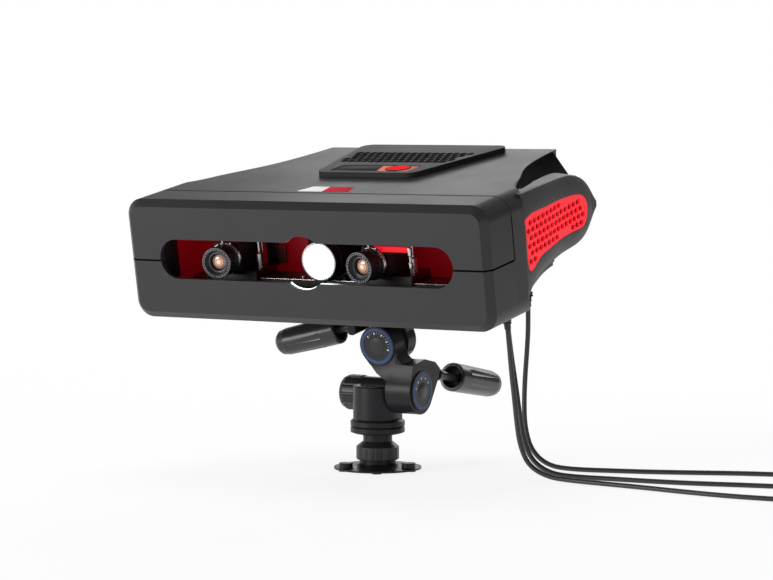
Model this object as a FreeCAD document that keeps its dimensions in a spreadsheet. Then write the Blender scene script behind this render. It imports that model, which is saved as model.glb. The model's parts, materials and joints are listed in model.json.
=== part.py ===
"""Desktop 3-D scanner on a three-way pan and tilt head.

The row frame has +Z up, the scanner faces -Y, and the origin is on the column's axis at the
underside of the base. The scanner and the pieces that tilt with it are drawn in the scanner's
own frame (origin at the centre of the front face, +Y into the housing, +Z up) and are stood
nose-down on the head by one placement, SCANNER. All sizes are millimetres.
"""

import FreeCAD, Part
import math
import os
import Sketcher
from FreeCAD import Placement, Rotation, Vector

X, Y, Z = Vector(1, 0, 0), Vector(0, 1, 0), Vector(0, 0, 1)
LEFT, RIGHT = -1, 1
SIDES = {"left": LEFT, "right": RIGHT}

SIZES = {
    # stance
    "nose_down": (10.07, "pitch of the scanner as it is stored, degrees"),
    "front_height": (217.2, "centre of the front face above the floor"),
    "column_back": (142, "column axis behind the centre of the front face"),
    "gap": (0.4, "running gap between pieces that move past each other"),
    # housing
    "housing_width": (420, "across the front"),
    "housing_height": (123, "front face"),
    "corner_radius": (18, "long edges of the front"),
    "front_chamfer": (7.2, "bevel round the front face"),
    "front_wall": (5, "thickness of the front face"),
    "wall": (3, "thickness of every other shell wall"),
    "hood_depth": (50, "front to the seam behind the hood"),
    "housing_depth": (288, "front to rear panel"),
    "slot_length": (341, "viewing slot"),
    "slot_height": (40.5, "viewing slot"),
    "slot_rise": (1.25, "slot centre above the seam"),
    "notch_radius": (27, "round window of the projector in the slot"),
    # base and column
    "base_radius": (45, "shoulder plate"),
    "base_edge": (2.8, "height of the shoulder plate's rim"),
    "base_hub_radius": (18.8, "step under the collar"),
    "base_hub_top": (10.2, "height of that step"),
    "foot_height": (1, "rubber under the shoulder"),
    "boss_ring": (37, "the three leg bosses from the axis"),
    "boss_radius": (7, "leg boss"),
    "boss_top": (8.8, "leg boss height"),
    "core_radius": (11.9, "column inside the collar"),
    "neck_radius": (15, "column above the collar"),
    "neck_bottom": (29.2, ""),
    "neck_top": (37.2, ""),
    "socket_radius": (4.0, "threaded socket of the base"),
    "socket_depth": (14, ""),
    "collar_radius": (22, "ribbed lock collar"),
    "collar_shoulder": (23.8, "top of the ribbed part"),
    # pan
    "disc_radius": (28, "pan discs"),
    "disc_top": (44.2, "top of the fixed pan disc"),
    "pan_ring_top": (51, "top of the turning pan disc"),
    "pan_body_radius": (25.3, ""),
    "pan_body_top": (86.5, ""),
    "tilt_axis_height": (83.2, "tilt axis above the floor"),
    "tilt_boss_radius": (12, "boss round the tilt axle"),
    "tilt_face": (22.3, "pan body's face against the bracket"),
    "axle_radius": (5, "tilt and roll axles"),
    "knob_radius": (18.5, "pan knob"),
    "knob_length": (28, ""),
    "knob_drop": (8.5, "knob axis under the tilt axis"),
    # bracket, in the scanner frame
    "bracket_inner": (23.3, "inner face of the tilt drum"),
    "bracket_outer": (52, "outer face of the tilt drum"),
    "tilt_drum_radius": (24, ""),
    "roll_drum_radius": (20.6, ""),
    "roll_axis_x": (12, "roll axis right of the column"),
    "roll_axis_drop": (108.2, "roll axis under the front face's centre"),
    "roll_drum_front": (104.7, "front of the bracket's roll drum"),
    "roll_drum_back": (126, "back of it"),
    "platform_drum_radius": (23, ""),
    "platform_drum_front": (128, ""),
    "platform_drum_back": (143.5, ""),
    "dial_radius": (20, "round caps on the drums"),
    "dial_thickness": (1.5, ""),
    "grip_radius": (15, "handle grips"),
    "tilt_grip_length": (90, ""),
    "roll_grip_length": (76, ""),
    "handle_rod_radius": (4.5, ""),
    # lenses and cameras
    "optical_drop": (4, "lens axes under the seam"),
    "toe_in": (8, "cameras turned towards the middle, degrees"),
    "lens_front_y": (10, "front of the camera lenses behind the front face"),
    "pivot_back": (48, "camera pivot behind the lens front"),
    "left_lens_x": (-109.6, ""),
    "right_lens_x": (58.4, ""),
    "lens_radius": (15.7, "front bezel, a 32 mm lens"),
    "lens_core_radius": (12.5, "barrel under the focus ring"),
    "lens_bore_radius": (8.4, "clear opening at the glass"),
    "lens_ring_radius": (17, "bright mount ring"),
    "camera_size": (29, "square camera body"),
    "camera_length": (42, ""),
    "projector_front": (30, "projector lens behind the front face"),
    "projector_radius": (20, "projector barrel"),
    "projector_depth": (54, "projector barrel"),
    "projector_glass_radius": (17, ""),
    "rail_front": (45, "optical rail"),
    "rail_width": (30, ""),
    "rail_top": (-26, ""),
    "rail_bottom": (-36, ""),
    # raised vent plate
    "vent_front_y": (128, ""),
    "vent_back_y": (278.5, ""),
    "vent_front_half": (57, ""),
    "vent_back_half": (90, ""),
    "vent_thickness": (5.4, ""),
    # cords
    "cord_diameter": (5, ""),
    "coil_outer_radius": (41, "put-away coil"),
    "coil_inner_radius": (15.2, ""),
    "coil_height": (10.4, ""),
}

doc = FreeCAD.newDocument("scanner")
sheet = doc.addObject("Spreadsheet::Sheet", "Sheet")
for row, (alias, (value, note)) in enumerate(SIZES.items(), start=1):
    sheet.set(f"A{row}", alias)
    sheet.set(f"B{row}", str(value))
    sheet.setAlias(f"B{row}", alias)
    sheet.set(f"C{row}", note)
doc.recompute()

NODES = {}


# ---------------------------------------------------------------- helpers


def size(alias):
    """A driving dimension, read from the sheet."""
    return float(sheet.get(alias))


def number(expression):
    """The value of an expression such as 'Sheet.wall * 2'."""
    return float(sheet.evalExpression(expression))


def at(x=0, y=0, z=0, turn=None):
    return Placement(Vector(x, y, z), turn or Rotation())


def facing(direction):
    """The turn that takes +Z to a direction."""
    return Rotation(Z, Vector(*direction))


SCANNER = at(0, -size("column_back"), size("front_height"), Rotation(X, size("nose_down")))


def bind(item, **expressions):
    for name, expression in expressions.items():
        item.setExpression(name.replace("_of_", "."), expression)
    return item


def node(label, item, place=None):
    """Names a finished piece, places it and lists it for export."""
    item.Label = label
    if place is not None:
        item.Placement = place
    NODES[label] = item
    return item


def cylinder(radius, height, place=None):
    item = doc.addObject("Part::Cylinder", "cylinder")
    bind(item, Radius=radius, Height=height)
    item.Placement = place or at()
    return item


def block(length, width, height, x="0", y="0", z="0"):
    """A box centred on x and y that stands on z."""
    item = doc.addObject("Part::Box", "block")
    bind(item, Length=length, Width=width, Height=height)
    item.setExpression("Placement.Base.x", f"{x} - ({length}) / 2")
    item.setExpression("Placement.Base.y", f"{y} - ({width}) / 2")
    item.setExpression("Placement.Base.z", z)
    return item


def fused(*items):
    joined = doc.addObject("Part::MultiFuse", "joined")
    joined.Shapes = list(items)
    joined.Refine = True
    return joined


def less(base, *tools):
    result = doc.addObject("Part::Cut", "trimmed")
    result.Base = base
    result.Tool = tools[0] if len(tools) == 1 else fused(*tools)
    return result


def ring_of(count, radius, make, start=0.0):
    """make(place) at even angles round Z."""
    made = []
    for step in range(count):
        angle = start + 360.0 * step / count
        turn = Rotation(Z, angle)
        made.append(make(Placement(turn.multVec(Vector(radius, 0, 0)), turn)))
    return made


def origin_plane(body, role):
    return next(f for f in body.Origin.OriginFeatures if f.Role == role)


def sketch(body, role, name):
    made = body.newObject("Sketcher::SketchObject", name)
    made.AttachmentSupport = (origin_plane(body, role), [""])
    made.MapMode = "FlatFace"
    return made


def outline(body, role, points, name="outline"):
    """A closed polygon whose corners are bound to expressions."""
    made = sketch(body, role, name)
    corners = [(number(x), number(y)) for x, y in points]
    for k, (x, y) in enumerate(corners):
        nx, ny = corners[(k + 1) % len(corners)]
        made.addGeometry(Part.LineSegment(Vector(x, y, 0), Vector(nx, ny, 0)))
    for k in range(len(corners)):
        made.addConstraint(Sketcher.Constraint("Coincident", k, 2, (k + 1) % len(corners), 1))
    for k, (words, values) in enumerate(zip(points, corners)):
        for kind, word, value in zip(("DistanceX", "DistanceY"), words, values):
            index = made.addConstraint(Sketcher.Constraint(kind, -1, 1, k, 1, value))
            made.setExpression(f"Constraints[{index}]", word)
    return made


def circles(body, role, rounds, name="circles"):
    """Circles (x, y, radius) whose numbers are expressions."""
    made = sketch(body, role, name)
    for k, (x, y, radius) in enumerate(rounds):
        centre = Vector(number(x), number(y), 0)
        made.addGeometry(Part.Circle(centre, Vector(0, 0, 1), number(radius)))
        for kind, word, value in (("DistanceX", x, centre.x), ("DistanceY", y, centre.y)):
            index = made.addConstraint(Sketcher.Constraint(kind, -1, 1, k, 3, value))
            made.setExpression(f"Constraints[{index}]", word)
        index = made.addConstraint(Sketcher.Constraint("Radius", k, number(radius)))
        made.setExpression(f"Constraints[{index}]", radius)
    return made


def turned(points, name="turned"):
    """A PartDesign body revolved round Z from (radius, height) corners."""
    body = doc.addObject("PartDesign::Body", name)
    profile = outline(body, "XZ_Plane", points, "profile")
    revolved = body.newObject("PartDesign::Revolution", "revolved")
    revolved.Profile = profile
    revolved.ReferenceAxis = (profile, ["V_Axis"])
    revolved.Angle = 360
    return body


def plate(points, thickness, holes=(), name="plate"):
    """A PartDesign plate on XY, padded up, with round through holes."""
    body = doc.addObject("PartDesign::Body", name)
    pad = body.newObject("PartDesign::Pad", "pad")
    pad.Profile = outline(body, "XY_Plane", points)
    bind(pad, Length=thickness)
    if holes:
        pocket = body.newObject("PartDesign::Pocket", "holes")
        pocket.Profile = circles(body, "XY_Plane", holes)
        pocket.Reversed = True
        bind(pocket, Length=thickness)
    return body


def rectangle(length, width, x="0", y="0"):
    half_l, half_w = f"({length}) / 2", f"({width}) / 2"
    return [
        (f"{x} - {half_l}", f"{y} - {half_w}"),
        (f"{x} + {half_l}", f"{y} - {half_w}"),
        (f"{x} + {half_l}", f"{y} + {half_w}"),
        (f"{x} - {half_l}", f"{y} + {half_w}"),
    ]


def softened(body, radius, test):
    """Rounds the edges of a body's tip that pass a test."""
    doc.recompute()
    tip = body.Tip
    names = [f"Edge{k}" for k, edge in enumerate(tip.Shape.Edges, start=1) if test(edge)]
    fillet = body.newObject("PartDesign::Fillet", "softened")
    fillet.Base = (tip, names)
    bind(fillet, Radius=radius)
    return body


def upright(edge):
    low, high = edge.BoundBox.ZMin, edge.BoundBox.ZMax
    return edge.BoundBox.XLength + edge.BoundBox.YLength < 1e-6 and high - low > 1e-3


def feature(label, shape, place=None):
    """A piece whose form no primitive gives; its sizes come from the sheet."""
    item = doc.addObject("Part::Feature", label)
    item.Shape = sound(shape.removeSplitter(), shape)
    return node(label, item, place)


def box_shape(low, high):
    extent = Vector(*high) - Vector(*low)
    return Part.makeBox(extent.x, extent.y, extent.z, Vector(*low))


def one_solid(shape):
    """The largest solid of a boolean's result."""
    return max(shape.Solids, key=lambda solid: solid.Volume)


def sound(*forms):
    """The first of several equal forms that is a valid solid, or the last one mended."""
    for form in forms:
        if form.Solids and form.isValid():
            return form
    mended = forms[-1].copy()
    mended.fix(1e-4, 1e-4, 1e-2)
    return mended


def curve(points):
    """A smooth edge through points."""
    spline = Part.BSplineCurve()
    spline.interpolate([Vector(*p) for p in points])
    return spline.toShape()


def line(a, b):
    return Part.makeLine(Vector(*a), Vector(*b))


# ---------------------------------------------------------------- base and column


def make_base():
    shoulder = turned(
        [
            ("Sheet.core_radius + 0.1", "Sheet.foot_height"),
            ("Sheet.base_radius", "Sheet.foot_height"),
            ("Sheet.base_radius", "Sheet.base_edge"),
            ("Sheet.base_radius - 8", "Sheet.base_edge + 1.6"),
            ("Sheet.base_hub_radius + 4", "Sheet.base_edge + 3.4"),
            ("Sheet.base_hub_radius", "Sheet.base_edge + 3.4"),
            ("Sheet.base_hub_radius", "Sheet.base_hub_top"),
            ("Sheet.core_radius + 0.1", "Sheet.base_hub_top"),
        ]
    )

    def boss(place):
        place.Base.z = size("foot_height")
        return cylinder("Sheet.boss_radius", "Sheet.boss_top - Sheet.foot_height", place)

    node("base_shoulder", fused(shoulder, *ring_of(3, size("boss_ring"), boss)))

    def foot(place):
        return cylinder("Sheet.base_radius * 0.11", "Sheet.foot_height", place)

    feet = doc.addObject("Part::Compound", "feet")
    feet.Links = ring_of(6, size("base_radius") * 0.88, foot)
    node("rubber_feet", feet)

    core = turned(
        [
            ("Sheet.socket_radius", "0"),
            ("Sheet.core_radius", "0"),
            ("Sheet.core_radius", "Sheet.neck_bottom"),
            ("Sheet.neck_radius", "Sheet.neck_bottom"),
            ("Sheet.neck_radius", "Sheet.neck_top"),
            ("0", "Sheet.neck_top"),
            ("0", "Sheet.socket_depth"),
            ("Sheet.socket_radius", "Sheet.socket_depth"),
        ]
    )
    node("column_core", core)

    collar = turned(
        [
            ("Sheet.core_radius + 0.3", "Sheet.base_hub_top + 0.3"),
            ("Sheet.collar_radius - 0.8", "Sheet.base_hub_top + 0.3"),
            ("Sheet.collar_radius", "Sheet.base_hub_top + 1.1"),
            ("Sheet.collar_radius", "Sheet.collar_shoulder"),
            ("Sheet.neck_radius + 0.8", "Sheet.neck_bottom - 0.4"),
            ("Sheet.core_radius + 0.3", "Sheet.neck_bottom - 0.4"),
        ]
    )

    def flute(place):
        place.Base.z = size("base_hub_top")
        return cylinder("1.6", "Sheet.collar_shoulder - Sheet.base_hub_top - 1", place)

    flutes = ring_of(16, size("collar_radius") + 0.9, flute)
    node("column_collar", less(collar, *flutes))

    disc = turned(
        [
            ("0", "Sheet.neck_top"),
            ("Sheet.disc_radius - 4", "Sheet.neck_top"),
            ("Sheet.disc_radius", "Sheet.neck_top + 1.6"),
            ("Sheet.disc_radius", "Sheet.disc_top - 0.8"),
            ("Sheet.disc_radius - 0.8", "Sheet.disc_top"),
            ("0", "Sheet.disc_top"),
        ]
    )
    node("pan_disc", disc)


# ---------------------------------------------------------------- pan body


def along_x(x, y, z):
    """A place whose +Z is the row's +X."""
    return at(x, y, z, facing(X))


def make_pan():
    axis_z = size("tilt_axis_height")
    ring = turned(
        [
            ("0", "Sheet.disc_top + Sheet.gap"),
            ("Sheet.disc_radius - 0.8", "Sheet.disc_top + Sheet.gap"),
            ("Sheet.disc_radius", "Sheet.disc_top + Sheet.gap + 0.8"),
            ("Sheet.disc_radius", "Sheet.pan_ring_top - 1"),
            ("Sheet.disc_radius - 1", "Sheet.pan_ring_top"),
            ("Sheet.pan_body_radius", "Sheet.pan_ring_top + 1.2"),
            ("Sheet.pan_body_radius", "Sheet.pan_body_top - 1.2"),
            ("Sheet.pan_body_radius - 1.2", "Sheet.pan_body_top"),
            ("0", "Sheet.pan_body_top"),
        ]
    )
    flat = block(
        "10",
        "60",
        "60",
        x="Sheet.tilt_face + 5",
        z="Sheet.pan_ring_top + 1.2",
    )
    boss = cylinder("Sheet.tilt_boss_radius", "Sheet.tilt_face + 14", along_x(-14, 0, axis_z))
    knob_z = axis_z - size("knob_drop")
    clamp = block("22", "26", "22", x="-12", y="19", z="Sheet.tilt_axis_height - Sheet.knob_drop - 11")
    axle_bore = cylinder("Sheet.axle_radius", "Sheet.tilt_face + 12", along_x(-11, 0, axis_z))
    knob_bore = cylinder("3.1", "20", along_x(-24, 27, knob_z))
    node("pan_body", less(fused(less(ring, flat), boss, clamp), axle_bore, knob_bore))

    axle = cylinder("Sheet.axle_radius", "Sheet.bracket_outer + 9", along_x(-11, 0, axis_z))
    node("tilt_axle", axle)

    knob = turned(
        [
            ("0", "0"),
            ("Sheet.knob_radius - 4", "0"),
            ("Sheet.knob_radius - 1", "1.6"),
            ("Sheet.knob_radius", "5"),
            ("Sheet.knob_radius", "Sheet.knob_length - 7"),
            ("Sheet.knob_radius - 2", "Sheet.knob_length - 2.4"),
            ("Sheet.knob_radius - 6", "Sheet.knob_length"),
            ("0", "Sheet.knob_length"),
        ]
    )
    grooves = ring_of(12, size("knob_radius") + 1.2, lambda p: cylinder("2.2", "Sheet.knob_length", p))
    thread = cylinder("3", "26", at(0, 0, -24))
    knob_piece = fused(less(knob, *grooves), thread)
    node("pan_knob", knob_piece, at(-28, 27, knob_z, facing(-X)))


# ---------------------------------------------------------------- bracket


def tilt_centre():
    """The tilt axis in the scanner's frame, as (y, z)."""
    world = Vector(0, 0, size("tilt_axis_height"))
    local = SCANNER.inverse().multVec(world)
    return local.y, local.z


def prism_x(points, x_low, x_high):
    """A prism along X from (y, z) corners."""
    ring = [Vector(x_low, y, z) for y, z in points]
    face = Part.Face(Part.makePolygon(ring + ring[:1]))
    return face.extrude(Vector(x_high - x_low, 0, 0))


def prism_y(points, y_low, y_high):
    """A prism along Y from (x, z) corners."""
    ring = [Vector(x, y_low, z) for x, z in points]
    face = Part.Face(Part.makePolygon(ring + ring[:1]))
    return face.extrude(Vector(0, y_high - y_low, 0))


def tangent_point(centre, radius, point, side):
    """Where a line from a point touches a circle, on its left or its right."""
    across, up = point[0] - centre[0], point[1] - centre[1]
    angle = math.atan2(up, across) - side * math.acos(radius / math.hypot(across, up))
    return centre[0] + radius * math.cos(angle), centre[1] + radius * math.sin(angle)


def drum(radius, low, high, axis):
    """A cylinder between two points along an axis."""
    return Part.makeCylinder(radius, high - low, axis[0] + axis[1] * low, axis[1])


def make_bracket():
    y_tilt, z_tilt = tilt_centre()
    x_roll, z_roll = size("roll_axis_x"), -size("roll_axis_drop")
    inner, outer = size("bracket_inner"), size("bracket_outer")
    tilt_axis = (Vector(0, y_tilt, z_tilt), X)
    roll_axis = (Vector(x_roll, 0, z_roll), Y)
    front, back = size("roll_drum_front"), size("roll_drum_back")

    shoulder_top = -127
    tilt_round = size("tilt_drum_radius")
    touch = ((y_tilt, z_tilt), tilt_round - 0.05)
    arm_front = [
        (x_roll - 20.2, z_roll),
        (-6, -119.5),
        (0.5, -128),
        (10, -136),
        (inner, -143),
        (inner, z_tilt),
        (outer, z_tilt),
        (outer, shoulder_top),
        (40, shoulder_top),
        (34, -121),
        (x_roll + 20.4, z_roll),
    ]
    front_touch = tangent_point(*touch, (front, -129), LEFT)
    arm_side = [
        (front, z_roll),
        (front, -129),
        front_touch,
        (y_tilt, z_tilt),
        tangent_point(*touch, (back, -132.5), RIGHT),
        (back, -132.5),
        (back, z_roll),
    ]
    shoulder_side = [
        (front + 0.2, shoulder_top),
        (129, shoulder_top + 0.5),
        (149, -134.5),
        (157.5, -143.5),
        (153, -152),
        tangent_point(*touch, (153, -152), RIGHT),
        (y_tilt, z_tilt),
        front_touch,
    ]
    arm = prism_x(arm_side, -20, outer).common(prism_y(arm_front, 88, 160))
    shoulder = prism_x(shoulder_side, 30, outer)
    corners = [e for e in shoulder.Edges if e.BoundBox.YLength < 1e-6 and e.BoundBox.YMin > 125]
    level = [e for e in corners if e.BoundBox.ZMin > z_tilt and e.BoundBox.ZLength < 1e-6]
    shoulder = shoulder.makeFillet(2.5, level)
    body = drum(tilt_round, inner, outer, tilt_axis)
    body = body.fuse([shoulder, arm, drum(size("roll_drum_radius"), front, back, roll_axis)])
    axle = size("axle_radius")
    body = body.cut(drum(axle + 0.05, inner - 1, outer + 1, tilt_axis))
    body = body.cut(drum(axle + 0.05, front + 2, back + 1, roll_axis))
    start, along = tilt_handle_line()
    body = body.cut(Part.makeCylinder(3.1, 14, start - along * 12, along))
    feature("tilt_bracket", one_solid(body), SCANNER)

    def cap(place):
        return cylinder("Sheet.dial_radius", "Sheet.dial_thickness", place)

    caps = doc.addObject("Part::Compound", "caps")
    tilt_cap = at(outer, y_tilt, z_tilt, facing(X))
    roll_cap = at(x_roll, front, z_roll, facing(-Y))
    caps.Links = [cap(tilt_cap), cap(roll_cap)]
    node("dial_caps", caps, SCANNER)

    make_handle("tilt_handle", "Sheet.tilt_grip_length", 33, start, along)


def tilt_handle_line():
    """Start and direction of the tilt handle in the scanner's frame."""
    turn = SCANNER.Rotation.inverted()
    start = SCANNER.inverse().multVec(Vector(46, 40, 97))
    return start, turn.multVec(Vector(0, 0.985, -0.171)).normalize()


def roll_handle_line():
    turn = SCANNER.Rotation.inverted()
    start = SCANNER.inverse().multVec(Vector(-20.5, -12, 147.9))
    return start, turn.multVec(Vector(-0.972, 0, -0.236)).normalize()


def make_handle(name, grip_length, grip_start, start, along):
    """A threaded rod and the hollow-ended grip that turns it."""
    turn = Rotation(Z, along)
    place = SCANNER.multiply(Placement(start, turn))
    rod = turned(
        [
            ("0", "-11"),
            ("3", "-11"),
            ("3", "0.5"),
            ("Sheet.handle_rod_radius + 2", "0.5"),
            ("Sheet.handle_rod_radius + 2", "4"),
            ("Sheet.handle_rod_radius", "6"),
            ("Sheet.handle_rod_radius", f"{grip_start} + 40"),
            ("0", f"{grip_start} + 40"),
        ]
    )
    node(f"{name}_rod", rod, place)
    end = f"{grip_start} + {grip_length}"
    grip = turned(
        [
            ("Sheet.handle_rod_radius", f"{grip_start} + 12"),
            ("Sheet.grip_radius - 4", f"{grip_start} + 10"),
            ("Sheet.grip_radius - 3.4", f"{grip_start}"),
            ("Sheet.grip_radius - 0.8", f"{grip_start}"),
            ("Sheet.grip_radius", f"{grip_start} + 1.5"),
            ("Sheet.grip_radius", f"{grip_start} + 22"),
            ("Sheet.grip_radius - 0.9", f"{end} - 12"),
            ("Sheet.grip_radius - 2.2", f"{end} - 4.5"),
            ("Sheet.grip_radius - 5", f"{end} - 1"),
            ("Sheet.grip_radius - 9", f"{end}"),
            ("0", f"{end}"),
            ("0", f"{grip_start} + 40"),
            ("Sheet.handle_rod_radius", f"{grip_start} + 40"),
        ]
    )
    flutes = ring_of(
        6,
        size("grip_radius") + 8.6,
        lambda p: cylinder("9.6", grip_length, at(p.Base.x, p.Base.y, grip_start + 18)),
        start=30,
    )
    node(f"{name}_grip", less(grip, *flutes), place)


def make_platform():
    x_roll, z_roll = size("roll_axis_x"), -size("roll_axis_drop")
    axis = (Vector(x_roll, 0, z_roll), Y)
    front, back = size("platform_drum_front"), size("platform_drum_back")
    start, along = roll_handle_line()
    body = drum(size("platform_drum_radius"), front, back, axis)
    riser = box_shape((x_roll - 21, front, z_roll), (x_roll + 21, back, -85))
    top = box_shape((x_roll - 31, 98, -86), (x_roll + 31, 156, -77))
    top = top.makeFillet(6, [e for e in top.Edges if upright(e)])
    lug = box_shape((x_roll - 31, 100, -97), (x_roll - 22.5, 130, -85))
    lug = lug.makeFillet(3, [e for e in lug.Edges if e.BoundBox.ZMax < -96.9 and e.BoundBox.XLength < 1e-6])
    body = body.fuse([riser, top, lug])
    body = body.cut(drum(size("axle_radius"), front - 1, back - 3, axis))
    body = body.cut(Part.makeCylinder(3.1, 13, start - along * 12, along))
    feature("roll_platform", one_solid(body), SCANNER)

    axle = cylinder("Sheet.axle_radius", "Sheet.platform_drum_back - Sheet.roll_drum_front - 5.2")
    place = at(x_roll, size("roll_drum_front") + 2.2, z_roll, facing(Y))
    node("roll_axle", axle, SCANNER.multiply(place))

    screw_hole = [("0", "0", "3.3")]
    quick = plate(rectangle("52", "52"), "11", screw_hole)
    quick = softened(quick, "4", upright)
    recess = cylinder("8.6", "5")
    node(
        "quick_plate",
        less(quick, recess),
        SCANNER.multiply(at(x_roll, 127, -77)),
    )
    screw = fused(cylinder("8", "4", at(0, 0, 0.5)), cylinder("3.1", "17", at(0, 0, 0.5)))
    node("plate_screw", screw, SCANNER.multiply(at(x_roll, 127, -77)))
    mount = plate(
        rectangle("120", "84"),
        "4.3",
        [("Sheet.roll_axis_x", "0", "3.1")] + [(x, y, "2.2") for x in ("-52", "52") for y in ("-34", "34")],
    )
    mount = softened(mount, "6", lambda e: upright(e) and e.Length > 4 and abs(e.BoundBox.XMin) > 59)
    node("mounting_plate", mount, SCANNER.multiply(at(0, 127, -65.9)))
    make_handle("roll_handle", "Sheet.roll_grip_length", 18, start, along)


# ---------------------------------------------------------------- housing shells


# Half of each shell's outline seen from above, from the hood's seam to the rear panel.
TOP_PLAN = [
    (210, 50), (210, 74), (203, 84), (192, 95), (178, 128), (165, 159), (153, 190), (143, 235), (137, 288)
]
LOW_PLAN = [
    (210, 50), (209, 74), (203, 84), (191, 100), (175, 125), (163, 150), (150, 190), (134, 240), (124, 288)
]


def plan_wire(plan, inset, z, front, back):
    """The housing's outline at one height, narrowed all round by inset."""
    right = [(x - inset, y, z) for x, y in plan]
    right[0] = (right[0][0], front, z)
    right[-1] = (right[-1][0], back, z)
    left = [(-x, y, z) for x, y, _ in reversed(right)]
    return Part.Wire([curve(right), line(right[-1], left[0]), curve(left), line(left[-1], right[0])])


def front_profile(inset, y_low, y_high):
    """The rounded rectangle of the front face as a bar along Y."""
    half_w = size("housing_width") / 2 - inset
    half_h = size("housing_height") / 2 - inset
    bar = box_shape((-half_w, y_low, -half_h), (half_w, y_high, half_h))
    long_edges = [e for e in bar.Edges if e.BoundBox.YLength > 1 and e.BoundBox.XLength < 1e-6]
    return bar.makeFillet(size("corner_radius") - inset, long_edges)


def rear_solid(inset, front, back):
    """The housing behind the hood, solid, with its walls moved in by inset."""
    half_h = size("housing_height") / 2 - inset
    low = plan_wire(LOW_PLAN, inset, -half_h, front, back)
    top = plan_wire(TOP_PLAN, inset, half_h, front, back)
    body = Part.makeLoft([low, top], True, True)
    return body.common(front_profile(inset, front - 1, back + 1))


HINGE_X = (-140, 140)
HINGE_RADIUS = 1.25
PIN_RADIUS = 0.6
HINGE_DEPTH = 0.9
SEAM_GROOVE = 1.5


def hinge_axis():
    return Vector(0, size("hood_depth"), size("housing_height") / 2 - HINGE_DEPTH)


def hinge_webs(ranges, side):
    """The feet that join the knuckles to the wall on one side of the seam."""
    start = hinge_axis()
    reach = 3.2
    return [
        box_shape((low, min(start.y, start.y + side * reach), start.z - 1.1),
                  (high, max(start.y, start.y + side * reach), start.z))
        for low, high in ranges
    ]


def seam_groove():
    """The V along the top of the seam, which the hood's edge turns in."""
    y, top = size("hood_depth"), size("housing_height") / 2
    section = [(y - SEAM_GROOVE, top + 0.01), (y, top + 0.01 - SEAM_GROOVE), (y + SEAM_GROOVE, top + 0.01)]
    reach = size("housing_width") / 2 - size("corner_radius") / 2
    return prism_x(section, -reach, reach)


def hinge_bars(radius, ranges):
    start = hinge_axis()
    return [
        Part.makeCylinder(radius, high - low, Vector(low, start.y, start.z), X)
        for low, high in ranges
    ]


HOOD_KNUCKLES = [(x - 7, x + 7) for x in HINGE_X]
SHELL_KNUCKLES = [(x - 20, x - 7.3) for x in HINGE_X] + [(x + 7.3, x + 20) for x in HINGE_X]


def with_knuckles(shell, own, other, bore, side):
    """Gives a shell edge its hinge knuckles and clears those of its partner."""
    shell = shell.cut(seam_groove())
    for bar in hinge_bars(HINGE_RADIUS + 0.35, [(a - 0.3, b + 0.3) for a, b in other]):
        shell = shell.cut(bar)
    shell = shell.fuse(hinge_bars(HINGE_RADIUS, own) + hinge_webs(own, side))
    for bar in hinge_bars(bore, own):
        shell = shell.cut(bar)
    return one_solid(shell)


def make_shells():
    width, height = size("housing_width"), size("housing_height")
    wall, depth = size("wall"), size("hood_depth")
    seam = 0.4
    back = size("housing_depth")

    front = front_profile(0, 0, depth + seam)
    rim = [e for e in front.Edges if e.BoundBox.YMax < 1e-6]
    front = front.makeChamfer(size("front_chamfer"), rim)
    front = front.cut(front_profile(wall, size("front_wall"), depth + 1))
    slot_half = size("slot_height") / 2
    slot = box_shape(
        (-size("slot_length") / 2, -1, size("slot_rise") - slot_half),
        (size("slot_length") / 2, size("front_wall") + 1, size("slot_rise") + slot_half),
    )
    slot = slot.makeFillet(slot_half - 0.01, [e for e in slot.Edges if e.BoundBox.YLength > 1])
    notch = Part.makeCylinder(size("notch_radius"), 10, Vector(0, -1, size("slot_rise")), Y)
    front = front.cut(slot.fuse(notch))

    upper = front.common(box_shape((-width, -1, 0.2), (width, depth - seam, height)))
    upper = with_knuckles(one_solid(upper), HOOD_KNUCKLES, SHELL_KNUCKLES, PIN_RADIUS + 0.05, -1)
    feature("front_hood", upper, SCANNER)

    lower_front = front.common(box_shape((-width, -1, -height), (width, depth + seam, -0.2)))
    rear = rear_solid(0, depth + seam, back)
    hollow = rear_solid(wall, depth + seam - 1, back + 1)
    floor_top = -height / 2 + wall
    floor = rear.common(box_shape((-width, 0, -height), (width, back - 4, floor_top)))
    lower = lower_front.fuse(floor)
    for x in (-52, 52):
        for y in (93, 161):
            lower = lower.cut(Part.makeCylinder(2.2, 10, Vector(x, y, -height / 2 - 1), Z))
    lower = lower.cut(Part.makeCylinder(4, 10, Vector(size("roll_axis_x"), 127, -height / 2 - 1), Z))
    for x, y in GLANDS:
        lower = lower.cut(Part.makeCylinder(4.6, 10, Vector(x, y, -height / 2 - 1), Z))
    feature("lower_shell", one_solid(lower), SCANNER)

    shell = rear.cut(hollow).cut(box_shape((-width, 0, -height), (width, back + 9, floor_top + 0.2)))
    shell = with_knuckles(one_solid(shell), SHELL_KNUCKLES, HOOD_KNUCKLES, PIN_RADIUS, 1)
    feature("main_shell", shell, SCANNER)

    pins = doc.addObject("Part::Compound", "pins")
    axis = hinge_axis()
    pins.Links = [
        cylinder(str(PIN_RADIUS), "40", at(x - 20, axis.y, axis.z, facing(X))) for x in HINGE_X
    ]
    node("hinge_pins", pins, SCANNER)


# ---------------------------------------------------------------- side pods

# y, outer x, crease height and lower edge of the pod's section at each station
POD_STATIONS = [
    (77, 207.5, 59, -52),
    (96, 205.5, 57.8, -42),
    (112, 203.5, 57, -35.5),
    (143, 199.5, 55.5, -31),
    (187, 193, 52.5, -28.5),
    (228, 188.5, 47, -28),
    (250, 186.3, 39, -24),
    (264, 185, 29.5, -17),
    (272, 184.3, 21, -9),
    (278, 184, 12, 1),
]
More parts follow.
